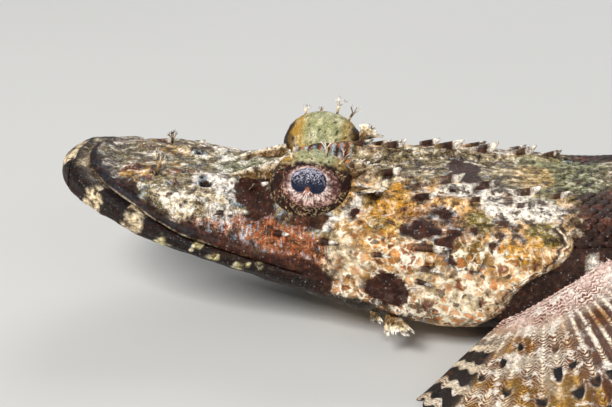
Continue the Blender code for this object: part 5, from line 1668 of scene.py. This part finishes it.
def fin(name, middle, rays, rows, ray_thick, web_thick, root_thick, notch, painted, floor=False, split=0.55):
    """A closed thin sheet whose rays stand out on both faces and branch beyond the split."""
    each = 8 if rays > 8 else 16
    columns = (rays - 1) * each + 1
    u = np.linspace(0, 1, columns)
    v = np.linspace(0, 1, rows)
    beside = np.abs(u * (rays - 1) - np.round(u * (rays - 1)))
    reach = 1 - notch * (1 - np.cos(2 * np.pi * beside)) / 2
    grid_u, grid_v = np.meshgrid(u, v, indexing="ij")
    out_v = grid_v * reach[:, None]
    centre = middle(grid_u, out_v)
    step = 1e-3
    du = middle(np.clip(grid_u + step, 0, 1), out_v) - middle(np.clip(grid_u - step, 0, 1), out_v)
    dv = middle(grid_u, np.clip(out_v + step, 0, 1)) - middle(grid_u, np.clip(out_v - step, 0, 1))
    normal = np.cross(du, dv)
    normal /= np.linalg.norm(normal, axis=-1, keepdims=True)
    parted = 0.21 * smooth_step(grid_v, split, split + 0.25)
    ray = hump(np.abs(beside[:, None] - parted), 0.13)
    thick = web_thick + (ray_thick * (1 - 0.55 * grid_v) - web_thick) * ray
    thick = thick + (root_thick - ray_thick) * np.clip(1 - grid_v * 4, 0, 1) ** 2
    lower = centre - normal * thick[..., None] / 2
    upper = centre + normal * thick[..., None] / 2
    if floor:
        if upper[..., 2].mean() < lower[..., 2].mean():
            lower, upper = upper, lower
        lower[..., 2] = np.maximum(lower[..., 2], 0.0)
        upper[..., 2] = np.maximum(upper[..., 2], thick * 0.85)
    grid = np.stack((lower, upper))
    made = new_piece(name, grid, sheet_faces(columns, rows), fin_skin, pose=not floor)[0]
    on_ray = grid_u * (rays - 1)
    colour = painted(on_ray, grid_v, np.broadcast_to(ray, grid_u.shape))
    colour_piece(made, np.tile(colour.reshape(-1, colour.shape[-1]), (2, 1)))
    long = np.linalg.norm(middle(u, 1 + 0 * u) - middle(u, 0 * u), axis=-1)[:, None] * grid_v
    uv = np.tile(np.stack((on_ray, long * MM * 8), axis=-1).reshape(-1, 2), (2, 1))
    corners = stored(made.data.loops, "vertex_index", kind=int)
    made.data.uv_layers.new(name="rays").data.foreach_set("uv", uv[corners].ravel())
    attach(made, "root")
    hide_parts(name.replace("_skin", ""))


def fan_colours(ray, v, ridge, rust_from=2.0):
    """Pink-white at the root, then tan to gold, with rows of near-black spots and a dark banded edge."""
    spot = np.stack((ray * 3, v * 60, 0 * v), axis=-1)
    broad = lumps(spot, 9, 1)
    across = ray / ray.max()
    ground = mixed(tint(184, 140, 82), tint(244, 228, 204), smooth_step(broad, -0.15, 0.25))
    gold = smooth_step(v, 0.35, 0.75) * (0.45 + 0.5 * smooth_step(broad, 0.1, -0.2))
    tinge(ground, tint(168, 128, 44), gold)
    # Between the upper rays the skin is rust, and round the root it is pink and white.
    beside = np.abs(ray - np.round(ray))
    upper = smooth_step(across, rust_from, rust_from + 0.14) * between(v, 0.12, 0.24, 0.7, 0.9)
    tinge(ground, tint(92, 38, 20), 0.9 * upper * smooth_step(beside, 0.12, 0.26))
    # Painted light and shade: the raised rays are painted lighter and the web between them darker.
    ground *= (0.55 + 0.7 * ridge)[..., None]
    tinge(ground, tint(238, 208, 198), 0.85 * (1 - smooth_step(v, 0.08, 0.30)) * (1 - upper))
    # Spots sit on the rays, in rows across them.
    reach = v * 6.4 + 0.35 * np.sin(ray * 0.7)
    step = np.round(reach)
    from_row = np.abs(reach - step) / (0.22 + 0.06 * np.sin(step * 5 + np.round(ray) * 3))
    chosen = lumps(np.stack((np.round(ray) * 5, step * 7, 0 * v), axis=-1), 3.3, 2)
    away = np.hypot(beside / 0.36, from_row) + 0.25 * lumps(spot, 2.2, 5)
    spots = smooth_step(chosen + 1.3 * (v - 0.52), -0.05, 0.05) * smooth_step(v, 0.22, 0.3)
    tinge(ground, tint(236, 220, 200), 0.6 * hump(away - 1.15, 0.16) * spots)
    tinge(ground, tint(18, 14, 16), (1 - smooth_step(away, 0.85, 1.05)) * spots)
    # The first rays and the edge are near-black with cream bands.
    leading = np.maximum(1 - smooth_step(ray, 2.2, 3.2), smooth_step(v, 0.90, 0.94))
    leading = leading * smooth_step(v, 0.25, 0.4)
    band = smooth_step(np.sin(v * 34 + ray * 0.8), 0.25, 0.55)
    tinge(ground, mixed(tint(24, 20, 24), tint(222, 206, 180), band), leading * 0.98)
    return ground


def pectoral_colours(ray, v, ridge):
    """The same, with rust between the rear rays."""
    return fan_colours(ray, v, ridge, 0.42)


def upright_colours(ray, v, ridge):
    """Olive and brown skin with dark bars, and rays with dark rings, painted cream along their ridges as a
    painted highlight.
    """
    spot = np.stack((ray * 3, v * 40, 0 * v), axis=-1)
    ground = mixed(tint(128, 104, 62), tint(70, 48, 34), smooth_step(lumps(spot, 8, 3), -0.1, 0.25))
    # Painted highlight: the raised rays are painted cream.
    tinge(ground, tint(214, 190, 150), ridge * 0.8)
    ring = smooth_step(np.sin(v * 26 + np.round(ray) * 1.7), 0.3, 0.6)
    tinge(ground, tint(60, 36, 26), ring * (0.35 + 0.5 * ridge))
    return np.concatenate((ground, np.full(v.shape + (1,), 0.3)), axis=-1)


# For each fin: the rays, the rows of points, the thickness of a ray, of the web and of the root, how
# deep the margin is notched, and the colours. The paired fins lie over the floor.
fin("dorsal_fin_1_skin", first_dorsal, DORSAL_1_SPINES, 40, 1.3, 0.35, 1.8, 0.16, upright_colours, split=2.0)
fin("dorsal_fin_2_skin", second_dorsal, SOFT_RAYS, 40, 1.1, 0.35, 1.6, 0.06, upright_colours)
fin("anal_fin_skin", anal, SOFT_RAYS, 24, 1.1, 0.35, 1.4, 0.06, upright_colours)
fin("caudal_fin_skin", caudal, CAUDAL_RAYS, 60, 1.2, 0.4, 3.6, 0.03, fan_colours)
for word, side in (("left", -1.0), ("right", 1.0)):
    name = "pectoral_fin_" + word + "_skin"
    fin(name, pectoral(side), PECTORAL_RAYS, 80, 1.3, 0.35, 2.6, 0.05, pectoral_colours, True)
    name = "pelvic_fin_" + word + "_skin"
    fin(name, pelvic(side), PELVIC_RAYS, 60, 1.5, 0.4, 2.2, 0.06, fan_colours, True)

# The floor, the soft studio lights and the camera.
floor_mesh = bpy.data.meshes.new("floor")
floor_mesh.from_pydata([(-3, -3, 0), (3, -3, 0), (3, 3, 0), (-3, 3, 0)], [], [(0, 1, 2, 3)])
floor = in_scene("floor", floor_mesh)
floor_paint, tree, shader = new_material("pale_floor")
haze = clouds(put(tree, "ShaderNodeTexCoord").outputs["Object"], 3.0, 2.0)
fill(shader.inputs["Base Color"], over(haze, (0.60, 0.60, 0.59), (0.64, 0.64, 0.63)))
shader.inputs["Roughness"].default_value = 0.85
floor_mesh.materials.append(floor_paint)


def soft_light(name, place, toward, size, power, warmth=(1.0, 1.0, 1.0)):
    data = bpy.data.lights.new(name, "AREA")
    data.size = size
    data.energy = power
    data.color = warmth
    lamp = in_scene(name, data)
    lamp.location = place
    lamp.rotation_euler = (Vector(toward) - Vector(place)).to_track_quat("-Z", "Y").to_euler()


soft_light("key_light", (-0.9, -1.5, 1.7), (-0.12, 0.0, 0.03), 0.9, 60.0, (1.0, 0.98, 0.95))
soft_light("fill_light", (1.2, -1.6, 0.9), (0.0, 0.0, 0.03), 1.6, 10.0, (0.95, 0.98, 1.0))
soft_light("back_light", (0.2, 1.8, 1.4), (-0.05, 0.0, 0.04), 1.2, 20.0)
world = bpy.data.worlds.new("studio")
world.use_nodes = True
world.node_tree.nodes["Background"].inputs[0].default_value = (0.95, 0.97, 1.0, 1.0)
world.node_tree.nodes["Background"].inputs[1].default_value = 0.19
bpy.context.scene.world = world
bpy.context.scene.view_settings.view_transform = "Standard"

AIM = Vector((-0.150, -0.020, 0.0430))
ELEVATION = math.radians(22.0)
AROUND = math.radians(6.0)
ROLL = math.radians(-1.0)
DISTANCE = 0.50
away = Vector(
    (math.sin(AROUND) * math.cos(ELEVATION), -math.cos(AROUND) * math.cos(ELEVATION), math.sin(ELEVATION))
)
camera = in_scene("camera", bpy.data.cameras.new("camera"))
camera.location = AIM + away * DISTANCE
camera.rotation_mode = "QUATERNION"
camera.rotation_quaternion = (-away).to_track_quat("-Z", "Y") @ Quaternion((0, 0, 1), ROLL)
camera.data.sensor_width = 36.0
camera.data.lens = 85.0
camera.data.clip_start = 0.01
bpy.context.scene.camera = camera
